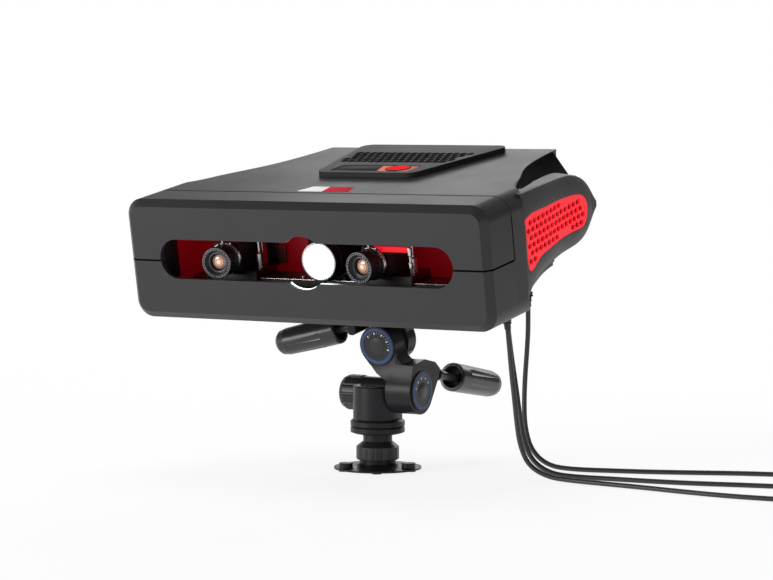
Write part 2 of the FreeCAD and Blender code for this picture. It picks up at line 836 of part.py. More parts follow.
# y and z corners of the red insert
INSERT = [
    (80, 31), (94, 34), (131, 33.5), (171, 32), (211, 29), (235, 25.5), (248, 20), (254, 11),
    (253, 2), (246, -6), (224, -9), (192, -8), (158, -9), (134, -10.5), (114, -13), (99, -18.5),
    (86, -20), (81, -1.5),
]


def top_edge_x(y):
    """Half the housing's width at its top edge, a straight run between the plan's points."""
    for (x_near, y_near), (x_far, y_far) in zip(TOP_PLAN[1:], TOP_PLAN[2:]):
        if y <= y_far:
            return x_near + (x_far - x_near) * (y - y_near) / (y_far - y_near)
    return TOP_PLAN[-1][0]


def pod_solid(inset, side):
    """The pod lofted through its stations; inset moves its skin inwards."""
    ridge = size("housing_height") / 2 - 0.6
    sections = []
    for k, (y, x, top, low) in enumerate(POD_STATIONS):
        y_here = y + inset if k == 0 else y - inset if k == len(POD_STATIONS) - 1 else y
        x, top, low = x - inset, top - inset, low + inset
        soft = min(12, (top - low) / 3)
        inner = 112
        crease = x - 5
        edge = min(top_edge_x(y), crease - 4)
        sag = 0.14 * (crease - edge)
        section = [
            (inner, low + soft),
            (x - soft, low),
            (x - 0.3 * soft, low + 0.35 * soft),
            (x, low + soft),
            (x, top - 0.5 * soft),
            (x - 2, top - 1),
            (crease, top),
            ((crease + edge) / 2, (top + ridge - inset) / 2 - sag),
            (edge, ridge - inset),
            (inner, ridge - inset),
        ]
        ring = [Vector(side * a, y_here, b) for a, b in section][::side]
        sections.append(Part.makePolygon(ring + ring[:1]))
    return Part.makeLoft(sections, True, False)


def outboard(side, inner):
    """The space beyond x = inner on one side."""
    low, high = sorted((side * inner, side * 230))
    return box_shape((low, 0, -99), (high, 300, 99))


def insert_face(inset):
    """The red insert's outline on the plane x = 0."""
    wire = Part.Wire([curve([(0, y, z) for y, z in INSERT + INSERT[:1]])])
    if inset:
        wire = wire.makeOffset2D(-inset)
    return Part.Face(wire)


def grille_slots(side):
    """Rows of long six-sided slots that keep clear of the insert's rim."""
    limit = insert_face(2.4)
    low, high = sorted((side * 150, side * 230))
    slots = []
    for row in range(-4, 6):
        z = row * 7.4 + 4
        for column in range(20):
            y = 78 + column * 11.6 + (row % 2) * 5.8
            corners = [(y + a, z + b) for a in (-4.8, 4.8) for b in (-2.4, 2.4)]
            if all(limit.isInside(Vector(0, *c), 1e-3, True) for c in corners):
                hexagon_sides = [
                    (y - 5.2, z), (y - 3.2, z - 2.6), (y + 3.2, z - 2.6),
                    (y + 5.2, z), (y + 3.2, z + 2.6), (y - 3.2, z + 2.6),
                ]
                slots.append(prism_x(hexagon_sides, low, high))
    return Part.makeCompound(slots)


def make_pods():
    housing = rear_solid(-0.3, size("hood_depth"), size("housing_depth") + 5)
    for name, side in SIDES.items():
        outwards = Vector(side * 240, 0, 0)
        outer = pod_solid(0, side)
        skin = outer.cut(pod_solid(size("wall"), side)).cut(housing)
        opening = insert_face(0).extrude(outwards).common(outboard(side, 170))
        feature(f"side_pod_{name}", one_solid(skin.cut(opening)), SCANNER)
        band = outer.cut(pod_solid(2.4, side)).common(outboard(side, 150))
        panel = one_solid(band.common(insert_face(0.3).extrude(outwards)).cut(housing))
        pierced = one_solid(panel.cut(grille_slots(side)))
        feature(f"grille_{name}", sound(pierced.transformGeometry(SCANNER.toMatrix())))


# ---------------------------------------------------------------- top details


def make_top():
    top = size("housing_height") / 2
    plate_body = plate(
        [
            ("-Sheet.vent_front_half", "Sheet.vent_front_y"),
            ("Sheet.vent_front_half", "Sheet.vent_front_y"),
            ("Sheet.vent_back_half", "Sheet.vent_back_y"),
            ("-Sheet.vent_back_half", "Sheet.vent_back_y"),
        ],
        "Sheet.vent_thickness",
        name="vent",
    )
    plate_body = softened(plate_body, "12", upright)
    pitch_x, pitch_y = 8.4, 10.8
    flare = (size("vent_back_half") - size("vent_front_half")) / (size("vent_back_y") - size("vent_front_y"))
    cells = []
    for row in range(5):
        y = 187 + row * pitch_y
        half = size("vent_front_half") + (y - size("vent_front_y")) * flare - 9
        for column in range(-10, 11):
            x = (column + 0.5 * (row % 2)) * pitch_x
            if abs(x) < half:
                cells.append(hexagon(x, y, 3.6, 6.2, size("vent_thickness") - 2.6))
    doc.recompute()
    carved = plate_body.Shape.cut(Part.makeCompound(cells))
    carved = carved.cut(box_shape((-46, 137, size("vent_thickness") - 0.8), (46, 166, 9)))
    feature("vent_plate", one_solid(carved), SCANNER.multiply(at(0, 0, top)))


def hexagon(x, y, half_width, half_length, z):
    """A long six-sided cell that is open at the top."""
    corners = [(0, 1), (1, 0.5), (1, -0.5), (0, -1), (-1, -0.5), (-1, 0.5)]
    ring = [Vector(x + half_width * a, y + half_length * b, z) for a, b in corners]
    return Part.Face(Part.makePolygon(ring + ring[:1])).extrude(Vector(0, 0, 3))


# ---------------------------------------------------------------- inside


def liner_plan(inset, z, front):
    """The liner's plan as a face: straight flanks, round corners, open at the front."""
    half, back, round_ = 174 - inset, 100 - inset, 40 - inset
    diagonal = round_ * (1 - math.sqrt(0.5))
    edges = []
    for side in (RIGHT, LEFT):
        start = Vector(side * half, back - round_, z)
        middle = Vector(side * (half - diagonal), back - diagonal, z)
        end = Vector(side * (half - round_), back, z)
        edges.append(line((side * half, front, z), start))
        edges.append(Part.Arc(start, middle, end).toShape())
    edges.append(line((half - round_, back, z), (-half + round_, back, z)))
    edges.append(line((-half, front, z), (half, front, z)))
    return Part.Face(Part.Wire(Part.__sortEdges__(edges)))


def make_liner():
    sheet_thickness = 1.5
    low, roof = -41, 24
    outer = liner_plan(0, low, 7).extrude(Vector(0, 0, roof + sheet_thickness - low))
    inner = liner_plan(sheet_thickness, low - 1, 5).extrude(Vector(0, 0, roof - low + 1))
    liner = outer.cut(inner)
    liner = liner.cut(box_shape((-172.4, 0, roof - 1), (172.4, 32, roof + 9)))
    liner = liner.cut(box_shape((-50, 90, low - 1), (50, 110, roof)))
    feature("red_liner", one_solid(liner), SCANNER)


def make_projector():
    front, z = size("projector_front"), -size("optical_drop")
    place = SCANNER.multiply(at(0, front, z, facing(Y)))
    barrel = turned(
        [
            ("Sheet.projector_glass_radius + 0.2", "0"),
            ("Sheet.projector_radius", "0"),
            ("Sheet.projector_radius", "9.6"),
            ("Sheet.projector_radius - 2", "9.6"),
            ("Sheet.projector_radius - 2", "22.4"),
            ("Sheet.projector_radius", "22.4"),
            ("Sheet.projector_radius", "Sheet.projector_depth"),
            ("12", "Sheet.projector_depth"),
            ("12", "8"),
            ("Sheet.projector_glass_radius + 0.2", "6"),
        ]
    )
    node("projector_barrel", barrel, place)
    ring = turned(
        [
            ("Sheet.projector_radius - 1.95", "10"),
            ("Sheet.projector_radius + 1.6", "10"),
            ("Sheet.projector_radius + 1.6", "22"),
            ("Sheet.projector_radius - 1.95", "22"),
        ]
    )

    def ring_tooth(place):
        return cylinder("0.9", "9", at(place.Base.x, place.Base.y, 11.5))

    teeth = ring_of(24, size("projector_radius") + 2.1, ring_tooth)
    node("projector_focus_ring", less(ring, *teeth), place)
    glass = turned(
        [
            ("0", "1.2"),
            ("Sheet.projector_glass_radius * 0.5", "1.6"),
            ("Sheet.projector_glass_radius * 0.85", "2.8"),
            ("Sheet.projector_glass_radius", "4"),
            ("Sheet.projector_glass_radius", "5.8"),
            ("0", "5.8"),
        ]
    )
    node("projector_glass", glass, place)

    body = plate(rectangle("96", "104"), "60", name="projector")
    body = softened(body, "5", upright)
    centre = front + size("projector_depth") + 52
    node("projector_body", body, SCANNER.multiply(at(0, centre, z - 34)))


def make_rail():
    rail = block(
        "330",
        "Sheet.rail_width",
        "Sheet.rail_top - Sheet.rail_bottom",
        y="Sheet.rail_front + Sheet.rail_width / 2",
        z="Sheet.rail_bottom",
    )
    floor_top = -size("housing_height") / 2 + size("wall")
    posts = [
        cylinder("6", f"Sheet.rail_bottom - ({floor_top})", at(x, size("rail_front") + 15, floor_top))
        for x in (-150, 0, 150)
    ]
    node("optical_rail", fused(rail, *posts), SCANNER)


def camera_line(side):
    """The pivot on the lens axis and the direction the lens looks, in the scanner's frame."""
    inward = -SIDES[side] * math.sin(math.radians(size("toe_in")))
    looks = Vector(inward, -math.cos(math.radians(size("toe_in"))), 0)
    front = Vector(size(f"{side}_lens_x"), size("lens_front_y"), -size("optical_drop"))
    return front, looks


def make_camera(side):
    front, looks = camera_line(side)
    backwards = looks * -1
    lens = SCANNER.multiply(Placement(front, Rotation(X, -Z, backwards, "ZYX")))
    barrel = turned(
        [
            ("Sheet.lens_bore_radius + 4", "0"),
            ("Sheet.lens_radius - 0.8", "0"),
            ("Sheet.lens_radius", "0.8"),
            ("Sheet.lens_radius", "6"),
            ("Sheet.lens_core_radius", "6"),
            ("Sheet.lens_core_radius", "14.4"),
            ("Sheet.lens_radius - 0.2", "14.4"),
            ("Sheet.lens_radius - 0.2", "20"),
            ("Sheet.lens_ring_radius", "20"),
            ("Sheet.lens_ring_radius", "23.5"),
            ("Sheet.lens_core_radius", "23.5"),
            ("Sheet.lens_core_radius", "27"),
            ("Sheet.lens_bore_radius - 1", "27"),
            ("Sheet.lens_bore_radius - 1", "10"),
            ("Sheet.lens_bore_radius", "10"),
            ("Sheet.lens_bore_radius", "5.6"),
            ("Sheet.lens_bore_radius + 3", "1"),
        ]
    )
    node(f"lens_barrel_{side}", barrel, lens)
    glass = turned(
        [
            ("0", "5.2"),
            ("Sheet.lens_bore_radius * 0.45", "5.6"),
            ("Sheet.lens_bore_radius * 0.8", "6.6"),
            ("Sheet.lens_bore_radius", "8"),
            ("Sheet.lens_bore_radius", "10"),
            ("0", "10"),
        ]
    )
    node(f"lens_glass_{side}", glass, lens)
    focus = turned(
        [
            ("Sheet.lens_core_radius + 0.06", "6.3"),
            ("Sheet.lens_radius - 1.3", "6.3"),
            ("Sheet.lens_radius - 1.3", "14.1"),
            ("Sheet.lens_core_radius + 0.06", "14.1"),
        ]
    )

    def focus_tooth(place):
        return cylinder("0.8", "5.4", at(place.Base.x, place.Base.y, 7.6))

    teeth = ring_of(20, size("lens_radius") - 0.9, focus_tooth)
    screw = cylinder("1.3", "6", at(0, -size("lens_radius") + 2.2, 10.2, facing(-Y)))
    ring = fused(less(focus, *teeth), screw)
    node(f"focus_ring_{side}", ring, lens)

    body = plate(rectangle("Sheet.camera_size", "Sheet.camera_size"), "Sheet.camera_length", name="camera")
    body = softened(body, "2.5", upright)
    node(f"camera_{side}", body, lens.multiply(at(0, 0, 27)))

    pivot = front + backwards * size("pivot_back")
    base_top = -size("optical_drop") - size("camera_size") / 2 - 0.3
    front_lip, rear_lip = size("rail_front") - 0.5, size("rail_front") + size("rail_width") + 0.5
    bottom = size("rail_top") + 0.4
    carriage = box_shape((pivot.x - 23, front_lip - 4, bottom), (pivot.x + 33, rear_lip + 4, base_top))
    for low, high in ((front_lip - 4, front_lip), (rear_lip, rear_lip + 4)):
        carriage = carriage.fuse(box_shape((pivot.x - 23, low, bottom - 9), (pivot.x + 33, high, bottom)))
    screw_at = Vector(pivot.x + 27, 58, 0)
    carriage = carriage.cut(Part.makeCylinder(1.65, 20, Vector(screw_at.x, screw_at.y, bottom - 1), Z))
    feature(f"carriage_{side}", carriage, SCANNER)

    screw = turned(
        [
            ("0", "-6.9"),
            ("1.6", "-6.9"),
            ("1.6", "0.4"),
            ("4.2", "0.4"),
            ("4.2", "15"),
            ("1.8", "16.5"),
            ("1.8", "31"),
            ("3.2", "31"),
            ("3.2", "34"),
            ("0", "34"),
        ]
    )
    node(f"clamp_screw_{side}", screw, SCANNER.multiply(at(screw_at.x, screw_at.y, base_top)))


def make_rear():
    back = size("housing_depth")
    half_h = size("housing_height") / 2 - size("wall") - 0.3
    top_half, low_half = TOP_PLAN[-1][0] - 3.6, LOW_PLAN[-1][0] - 3.2
    vents = [
        (str(-62 + 17 * math.cos(math.radians(a))), str(4 + 17 * math.sin(math.radians(a))), "5")
        for a in range(0, 360, 45)
    ]
    holes = vents + [("-62", "4", "5"), ("70", "18", "8.4"), ("40", "-28", "6"), ("64", "-28", "6")]
    corners = [(-low_half, -half_h), (low_half, -half_h), (top_half, half_h), (-top_half, half_h)]
    panel = plate([(str(x), str(z)) for x, z in corners], "3", holes, name="rear")
    node("rear_panel", panel, SCANNER.multiply(at(0, back - 0.5, 0, Rotation(X, 90))))

    frame = plate(rectangle("60", "60"), "15", [("0", "0", "27.5")], name="fan")
    frame = softened(frame, "4", lambda e: upright(e) and abs(e.BoundBox.XMin) > 29)
    fan_place = SCANNER.multiply(at(-62, back - 3.8, 4, Rotation(X, 90)))
    node("fan_frame", frame, fan_place)
    hub = cylinder("11", "12", at(0, 0, 1.5))
    blades = []
    for place in ring_of(7, 17.5, lambda p: p):
        blade = doc.addObject("Part::Box", "blade")
        bind(blade, Length="16", Width="1.4", Height="11")
        turn = Rotation(Z, place.Rotation.Angle * 180 / math.pi * place.Rotation.Axis.z)
        tilt = turn.multiply(Rotation(X, 28))
        blade.Placement = Placement(turn.multVec(Vector(9.6, -3, 2)), tilt)
        blades.append(blade)
    node("fan_rotor", fused(hub, *blades), fan_place)

    button = turned(
        [
            ("0", "-6"),
            ("10", "-6"),
            ("10", "-4"),
            ("8", "-4"),
            ("8", "3.4"),
            ("7", "4.4"),
            ("0", "4.4"),
        ]
    )
    node("power_button", button, SCANNER.multiply(at(70, back - 0.5, 18, facing(Y))))

    board = plate(
        rectangle("180", "72"),
        "1.6",
        [(x, y, "1.7") for x in ("-84", "84") for y in ("-30", "30")],
        name="board",
    )
    chips = [block(l, w, t, x=x, y=y, z="1.6") for l, w, t, x, y in BOARD_CHIPS]
    stands = [cylinder("3", "8", at(x, y, -8)) for x in (-84, 84) for y in (-30, 30)]
    floor_top = -size("housing_height") / 2 + size("wall")
    node("control_board", fused(board, *chips, *stands), SCANNER.multiply(at(0, 228, floor_top + 8)))


BOARD_CHIPS = [
    ("18", "18", "2", "-30", "4"),
    ("12", "12", "1.6", "10", "-12"),
    ("24", "10", "9", "62", "24"),
    ("24", "10", "9", "30", "24"),
    ("9", "20", "12", "-70", "0"),
]


# ---------------------------------------------------------------- cords

GLANDS = [(160, 114), (140, 150), (134.5, 205)]
GLAND_LENGTH = 25
CORD_NAMES = ["data_cord_left", "data_cord_right", "power_cord"]
COIL_CENTRES = [(508, -44), (478, 42), (446, 126)]
# Each route runs from its gland down to the floor and along it to its coil.
ROUTES = [
    [
        (160, -10.2, 129), (161, -8, 106), (163.3, -6.5, 82), (165.5, -5.5, 58), (168.5, -4, 35),
        (176, 0, 15), (195.5, 4.5, 4.4), (222, 6, 2.6), (256, 2.5, 2.6), (300, -1.5, 2.6),
        (348, -9, 2.6), (400, -14, 2.6), (450, -9.5, 2.6),
    ],
    [
        (140.5, 25.5, 133), (144, 26, 110), (149, 24.5, 86), (154, 22, 62), (158.5, 21, 38),
        (167, 24, 16.5), (185.5, 29, 4.6), (211, 33, 2.6), (245, 38, 2.6), (288, 42, 2.6),
        (335, 51, 2.6), (384, 66, 2.6), (430, 77, 2.6),
    ],
    [
        (133, 78.5, 146), (131, 79.5, 122), (129.8, 78, 97), (130.3, 75, 71), (133, 71.5, 45),
        (140.5, 71.5, 20.5), (158, 76, 5.2), (184.5, 83.5, 2.6), (217, 93, 2.6), (256, 105, 2.6),
        (300, 124, 2.6), (348, 146, 2.6), (398, 160, 2.6),
    ],
]


def gland_exit(k):
    x, y = GLANDS[k]
    return SCANNER.multVec(Vector(x, y, -size("housing_height") / 2 - GLAND_LENGTH - 0.5))


def cord_route(k):
    """The cord from its gland to where it meets its coil's rim, as points."""
    centre = Vector(*COIL_CENTRES[k], 2.6)
    rim = centre + Vector(0, size("coil_outer_radius") - 2.6, 0)
    return [gland_exit(k)] + [Vector(*p) for p in ROUTES[k]] + [rim]


def rounded_path(points):
    """Straight runs joined by the largest tangent arcs that their lengths allow."""
    edges, start, radii = [], points[0], []
    for before, corner, after in zip(points, points[1:], points[2:]):
        into, out = corner - before, after - corner
        turn = into.getAngle(out)
        reach = 0.45 * min(into.Length, out.Length)
        radius = reach / math.tan(turn / 2)
        radii.append(radius)
        into.normalize()
        out.normalize()
        first, last = corner - into * reach, corner + out * reach
        towards = (out - into).normalize()
        sag = radius * (1 / math.cos(turn / 2) - 1)
        edges.append(Part.LineSegment(start, first).toShape())
        edges.append(Part.Arc(first, corner + towards * sag, last).toShape())
        start = last
    edges.append(Part.LineSegment(start, points[-1]).toShape())
    return Part.Wire(edges), radii


def make_cords():
    radius = size("cord_diameter") / 2
    for k, name in enumerate(CORD_NAMES):
        points = cord_route(k)
        path, radii = rounded_path(points)
        along = (points[1] - points[0]).normalize()
        profile = Part.Wire([Part.makeCircle(radius, points[0], along)])
        tube = path.makePipeShell([profile], True, False)
        print(name, "length", round(path.Length, 1), "radii", [round(r) for r in radii],
              "volume ratio", round(tube.Volume / (math.pi * radius**2 * path.Length), 4))
        feature(name, one_solid(tube))

    for name, (x, y) in zip(CORD_NAMES, COIL_CENTRES):
        ring = cylinder("Sheet.coil_outer_radius", "Sheet.coil_height", at(x, y, 0))
        hole = cylinder("Sheet.coil_inner_radius", "Sheet.coil_height", at(x, y, 0))
        node(f"{name}_coil", less(ring, hole))

    plugs = []
    for x, y in COIL_CENTRES:
        beside = str(x + size("coil_outer_radius") + 5)
        body = block("12", "34", "7", x=beside, y=str(y - 5), z="0")
        tip = block("9", "12", "4.4", x=beside, y=str(y - 28), z="1.3")
        plugs.append(fused(body, tip))
    compound = doc.addObject("Part::Compound", "plugs")
    compound.Links = plugs
    node("cord_plugs", compound)

    glands = []
    for x, y in GLANDS:
        gland = turned(
            [
                ("0", "-4"),
                ("4.4", "-4"),
                ("4.4", "0"),
                ("7", "0"),
                ("7", "3.5"),
                ("4.6", "4.2"),
                ("4.3", f"{GLAND_LENGTH - 6}"),
                ("3.3", f"{GLAND_LENGTH}"),
                ("0", f"{GLAND_LENGTH}"),
            ]
        )
        gland.Placement = at(x, y, -size("housing_height") / 2, facing(-Z))
        glands.append(gland)
    compound = doc.addObject("Part::Compound", "glands")
    compound.Links = glands
    node("cable_glands", compound, SCANNER)


def make_screws():
    """The housing screws, four under the mounting plate and four in the rear panel."""
    under = -size("housing_height") / 2
    back = size("housing_depth")
    screws = []
    for x in (-52, 52):
        for y in (93, 161):
            shank = cylinder("2.1", "9", at(x, y, under - 4.3))
            head = cylinder("4", "2.2", at(x, y, under - 6.6))
            screws.append(fused(shank, head))
    compound = doc.addObject("Part::Compound", "screws")
    compound.Links = screws
    node("shell_screws", compound, SCANNER)


make_base()
make_pan()
make_bracket()
make_platform()
make_shells()
make_pods()
make_top()
make_liner()
make_projector()
make_rail()
for camera_side in SIDES:
    make_camera(camera_side)
make_rear()
make_cords()
make_screws()


def check_and_export():
    doc.recompute()
    failed = [o.Name for o in doc.Objects if {"Invalid", "Error"} & set(o.State)]
    if failed:
        raise RuntimeError(f"these objects failed: {failed}")
    for label, item in NODES.items():
        if item.Shape.isNull() or not item.Shape.isValid() or not item.Shape.Solids:
            raise RuntimeError(f"{label} has no valid shape")
    os.makedirs("parts", exist_ok=True)
    for label, item in NODES.items():
        item.Shape.exportStep(f"parts/{label}.step")


check_and_export()
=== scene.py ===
import bpy
import bmesh
import json
import math
from mathutils import Matrix, Vector


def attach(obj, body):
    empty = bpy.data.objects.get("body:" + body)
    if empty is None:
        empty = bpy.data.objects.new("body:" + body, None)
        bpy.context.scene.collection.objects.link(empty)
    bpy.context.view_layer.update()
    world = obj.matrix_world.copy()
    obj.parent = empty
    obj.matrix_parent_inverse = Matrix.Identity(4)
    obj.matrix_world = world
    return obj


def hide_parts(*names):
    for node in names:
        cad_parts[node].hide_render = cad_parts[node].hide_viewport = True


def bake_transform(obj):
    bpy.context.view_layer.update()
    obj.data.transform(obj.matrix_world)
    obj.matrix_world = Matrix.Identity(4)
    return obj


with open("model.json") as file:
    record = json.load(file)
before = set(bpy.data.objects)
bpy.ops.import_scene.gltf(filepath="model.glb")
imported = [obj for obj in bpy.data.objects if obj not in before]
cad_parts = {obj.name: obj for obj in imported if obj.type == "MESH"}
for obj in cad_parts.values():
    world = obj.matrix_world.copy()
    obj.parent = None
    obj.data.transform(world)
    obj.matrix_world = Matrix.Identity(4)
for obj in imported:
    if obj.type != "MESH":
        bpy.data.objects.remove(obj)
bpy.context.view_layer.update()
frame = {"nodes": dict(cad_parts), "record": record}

BODY_OF = {
    node: body
    for body, nodes in frame["record"]["behaviour"]["bodies"].items()
    for node in nodes
}
SLOT_OF = {row["node"]: row["material_slot"] for row in frame["record"]["subparts"]}

MM = 0.001
TO_METRES = Matrix.Scale(MM, 4)

# The sign of X on each side.
SIDES = {"left": -1, "right": 1}

# The scanner stands nose-down on its head: its own frame has its origin at the centre of the
# front face, +Y into the housing and +Z up. Forms are made in millimetres.
NOSE_DOWN = math.radians(10.07)
FRONT_CENTRE_MM = Vector((0, -142, 217.2))
FRONT_CENTRE = FRONT_CENTRE_MM * MM
SCANNER = Matrix.Translation(FRONT_CENTRE) @ Matrix.Rotation(NOSE_DOWN, 4, "X")
SCANNER_MM = Matrix.Translation(FRONT_CENTRE_MM) @ Matrix.Rotation(NOSE_DOWN, 4, "X")
HALF_HEIGHT = 61.5
REAR_FACE = 287.5


def scanner(x, y, z):
    """A point of the scanner's frame, given in millimetres, in the row's frame."""
    return SCANNER @ (Vector((x, y, z)) * MM)


# ---------------------------------------------------------------- camera, floor and lights


def make_camera():
    """A long lens in front of the scanner, towards +X and a little above it."""
    # The direction to the front's centre, the camera's own right and up, and the distance.
    looks = Vector((-0.5439, 0.8374, -0.0558))
    right = Vector((0.8387, 0.5447, 0))
    up = Vector((-0.0304, 0.0468, 0.9986))
    distance = 2.6946
    side_shift, up_shift = 0.030686, -0.009245
    camera = bpy.data.objects.new("camera", bpy.data.cameras.new("camera"))
    bpy.context.scene.collection.objects.link(camera)
    camera.data.sensor_width = 36
    camera.data.lens = 128
    camera.data.clip_end = 50
    # The scanner stands off the middle of the frame, so the lens aims past it.
    aim = (looks + right * side_shift + up * up_shift).normalized()
    camera.location = FRONT_CENTRE - looks * distance
    camera.rotation_euler = aim.to_track_quat("-Z", "Y").to_euler()
    bpy.context.scene.camera = camera


def make_light(name, place, target, size, power):
    """A white rectangular lamp that faces its target."""
    light = bpy.data.lights.new(name, "AREA")
    light.shape = "RECTANGLE"
    light.size, light.size_y = size
    light.energy = power
    item = bpy.data.objects.new(name, light)
    item.location = place
    item.rotation_euler = (Vector(target) - Vector(place)).to_track_quat("-Z", "Y").to_euler()
    bpy.context.scene.collection.objects.link(item)


# A colour Mix node's sockets.
MIX_FACTOR, MIX_FIRST, MIX_SECOND, MIX_RESULT = 0, 6, 7, 2

# Brightness by the height of a direction, and how much of it stays as it turns towards +X.
WORLD_DOME = [(0.36, 0.70), (0.66, 0.16)]
WORLD_RIGHT = [(0.0, 1.0), (0.35, 0.10)]


def make_world():
    """Bright low down, dim overhead and towards +X, and plain white where it is seen."""
    world = bpy.data.worlds.new("studio")
    bpy.context.scene.world = world
    world.use_nodes = True
    tree = world.node_tree

    def ramp(stops):
        made = tree.nodes.new("ShaderNodeValToRGB")
        for element, (position, level) in zip(made.color_ramp.elements, stops):
            element.position = position
            element.color = (level, level, level, 1)
        return made

    def mix(blend):
        made = tree.nodes.new("ShaderNodeMix")
        made.data_type = "RGBA"
        made.blend_type = blend
        made.inputs[MIX_FACTOR].default_value = 1.0
        return made

    rays = tree.nodes.new("ShaderNodeLightPath")
    direction = tree.nodes.new("ShaderNodeTexCoord")
    parts = tree.nodes.new("ShaderNodeSeparateXYZ")
    dome, flag = ramp(WORLD_DOME), ramp(WORLD_RIGHT)
    shaded, paper = mix("MULTIPLY"), mix("MIX")
    paper.inputs[MIX_SECOND].default_value = (1, 1, 1, 1)
    links = tree.links
    links.new(direction.outputs["Generated"], parts.inputs[0])
    links.new(parts.outputs["Z"], dome.inputs[0])
    links.new(parts.outputs["X"], flag.inputs[0])
    links.new(dome.outputs["Color"], shaded.inputs[MIX_FIRST])
    links.new(flag.outputs["Color"], shaded.inputs[MIX_SECOND])
    links.new(rays.outputs["Is Camera Ray"], paper.inputs[MIX_FACTOR])
    links.new(shaded.outputs[MIX_RESULT], paper.inputs[MIX_FIRST])
    links.new(paper.outputs[MIX_RESULT], tree.nodes["Background"].inputs["Color"])


# Half the floor's side, in metres.
FLOOR_REACH = 12


def make_studio():
    """Soft light from four lamps over a wide pale floor."""
    bpy.context.scene.view_settings.view_transform = "Standard"
    make_world()
    make_light("key", (-1.7, -2.5, 0.6), (0, 0, 0.2), (1.6, 1.0), 45)
    make_light("rear_strip", (-0.6, 2.6, 1.3), (0, 0, 0.25), (2.4, 0.4), 14)
    make_light("right_fill", (2.6, -0.7, 0.5), (0.2, 0, 0.2), (0.7, 0.7), 5)
    make_light("overhead", (-0.3, 0.5, 2.3), (0, 0, 0.3), (1.4, 1.4), 9)
    bm = bmesh.new()
    bmesh.ops.create_grid(bm, x_segments=1, y_segments=1, size=FLOOR_REACH)
    mesh = bpy.data.meshes.new("floor")
    bm.to_mesh(mesh)
    bm.free()
    floor = bpy.data.objects.new("floor", mesh)
    bpy.context.scene.collection.objects.link(floor)
    floor.data.materials.append(plain_floor())


# ---------------------------------------------------------------- shader language


class Field:
    """A shader value that ordinary sums work on."""

    def __init__(self, surface, socket):
        self.surface = surface
        self.socket = socket

    def __add__(self, other):
        return self.surface.maths("ADD", self, other)

    __radd__ = __add__

    def __mul__(self, other):
        return self.surface.maths("MULTIPLY", self, other)

    __rmul__ = __mul__

    def __truediv__(self, other):
        return self.surface.maths("DIVIDE", self, other)

    def __rtruediv__(self, other):
        return self.surface.maths("DIVIDE", other, self)

    def __getitem__(self, output):
        """Another output of the same node, such as a noise's Color."""
        return Field(self.surface, self.socket.node.outputs[output])


class Surface:
    """A material with one glossy shader, and the nodes that feed it."""

    def __init__(self, name):
        self.material = bpy.data.materials.new(name)
        self.material.use_nodes = True
        self.tree = self.material.node_tree
        self.shader = self.tree.nodes["Principled BSDF"]
        self.place = self.node("ShaderNodeTexCoord")["Object"]

    def node(self, kind, settings=None, **inputs):
        """A node of a kind: its settings first, then its sockets, by name or as _0, _1."""
        made = self.tree.nodes.new(kind)
        for key, value in (settings or {}).items():
            if key == "stops":
                self.set_ramp(made.color_ramp, value)
            else:
                setattr(made, key, value)
        for key, value in inputs.items():
            number = key[1:]
            socket = int(number) if number.isdigit() else key.replace("_", " ")
            self.feed(made.inputs[socket], value)
        return Field(self, made.outputs[0])

    def feed(self, socket, value):
        """Links a socket to a field, or sets its value."""
        if isinstance(value, Field):
            self.tree.links.new(value.socket, socket)
        else:
            socket.default_value = value

    def set_ramp(self, ramp, stops):
        while len(ramp.elements) < len(stops):
            ramp.elements.new(1.0)
        for element, (position, colour) in zip(ramp.elements, stops):
            shade = colour if isinstance(colour, tuple) else (colour, colour, colour)
            element.position = position
            element.color = (*shade, 1)

    def maths(self, operation, first, second):
        return self.node("ShaderNodeMath", {"operation": operation}, _0=first, _1=second)

    def noise(self, scale, detail, roughness=0.5):
        return self.node(
            "ShaderNodeTexNoise", Vector=self.place, Scale=scale, Detail=detail, Roughness=roughness
        )

    def ramp(self, value, stops):
        return self.node("ShaderNodeValToRGB", {"stops": stops}, Fac=value)

    def colour_mix(self, factor, first, second):
        """Between two colours."""
        made = self.tree.nodes.new("ShaderNodeMix")
        made.data_type = "RGBA"
        for index, value in ((MIX_FACTOR, factor), (MIX_FIRST, first), (MIX_SECOND, second)):
            self.feed(made.inputs[index], (*value, 1) if isinstance(value, tuple) else value)
        return Field(self, made.outputs[MIX_RESULT])

    def bump(self, height, strength, distance):
        return self.node("ShaderNodeBump", Height=height, Strength=strength, Distance=distance)

    def set(self, **sockets):
        """Values or links for the shader's own sockets."""
        for key, value in sockets.items():
            if isinstance(value, tuple) and len(value) == 3:
                value = (*value, 1)
            self.feed(self.shader.inputs[key.replace("_", " ")], value)
        return self


# ---------------------------------------------------------------- finishes


# The floor takes shadow up to its near limit and is plain white from its far one. Both are
# shares of FLOOR_FADE, a distance from the middle in metres.
FLOOR_FADE = 2.4
FLOOR_NEAR, FLOOR_FAR = 0.2, 0.6


def plain_floor():
    """White paper that takes a faint shadow near the object and none further off."""
    s = Surface("pale floor")
    flat = s.node("ShaderNodeVectorMath", {"operation": "MULTIPLY"}, _0=s.place, _1=(1, 1, 0))
    far = s.node("ShaderNodeVectorMath", {"operation": "LENGTH"}, _0=flat)["Value"]
    s.set(
        Base_Color=s.ramp(far / FLOOR_FADE, [(FLOOR_NEAR, 0.34), (FLOOR_FAR, 0.0)]),
        Roughness=0.9,
        Specular_IOR_Level=0.0,
        Emission_Color=s.ramp(far / FLOOR_FADE, [(FLOOR_NEAR, 0.82), (FLOOR_FAR, 1.0)]),
        Emission_Strength=1.0,
    )
    return s.material


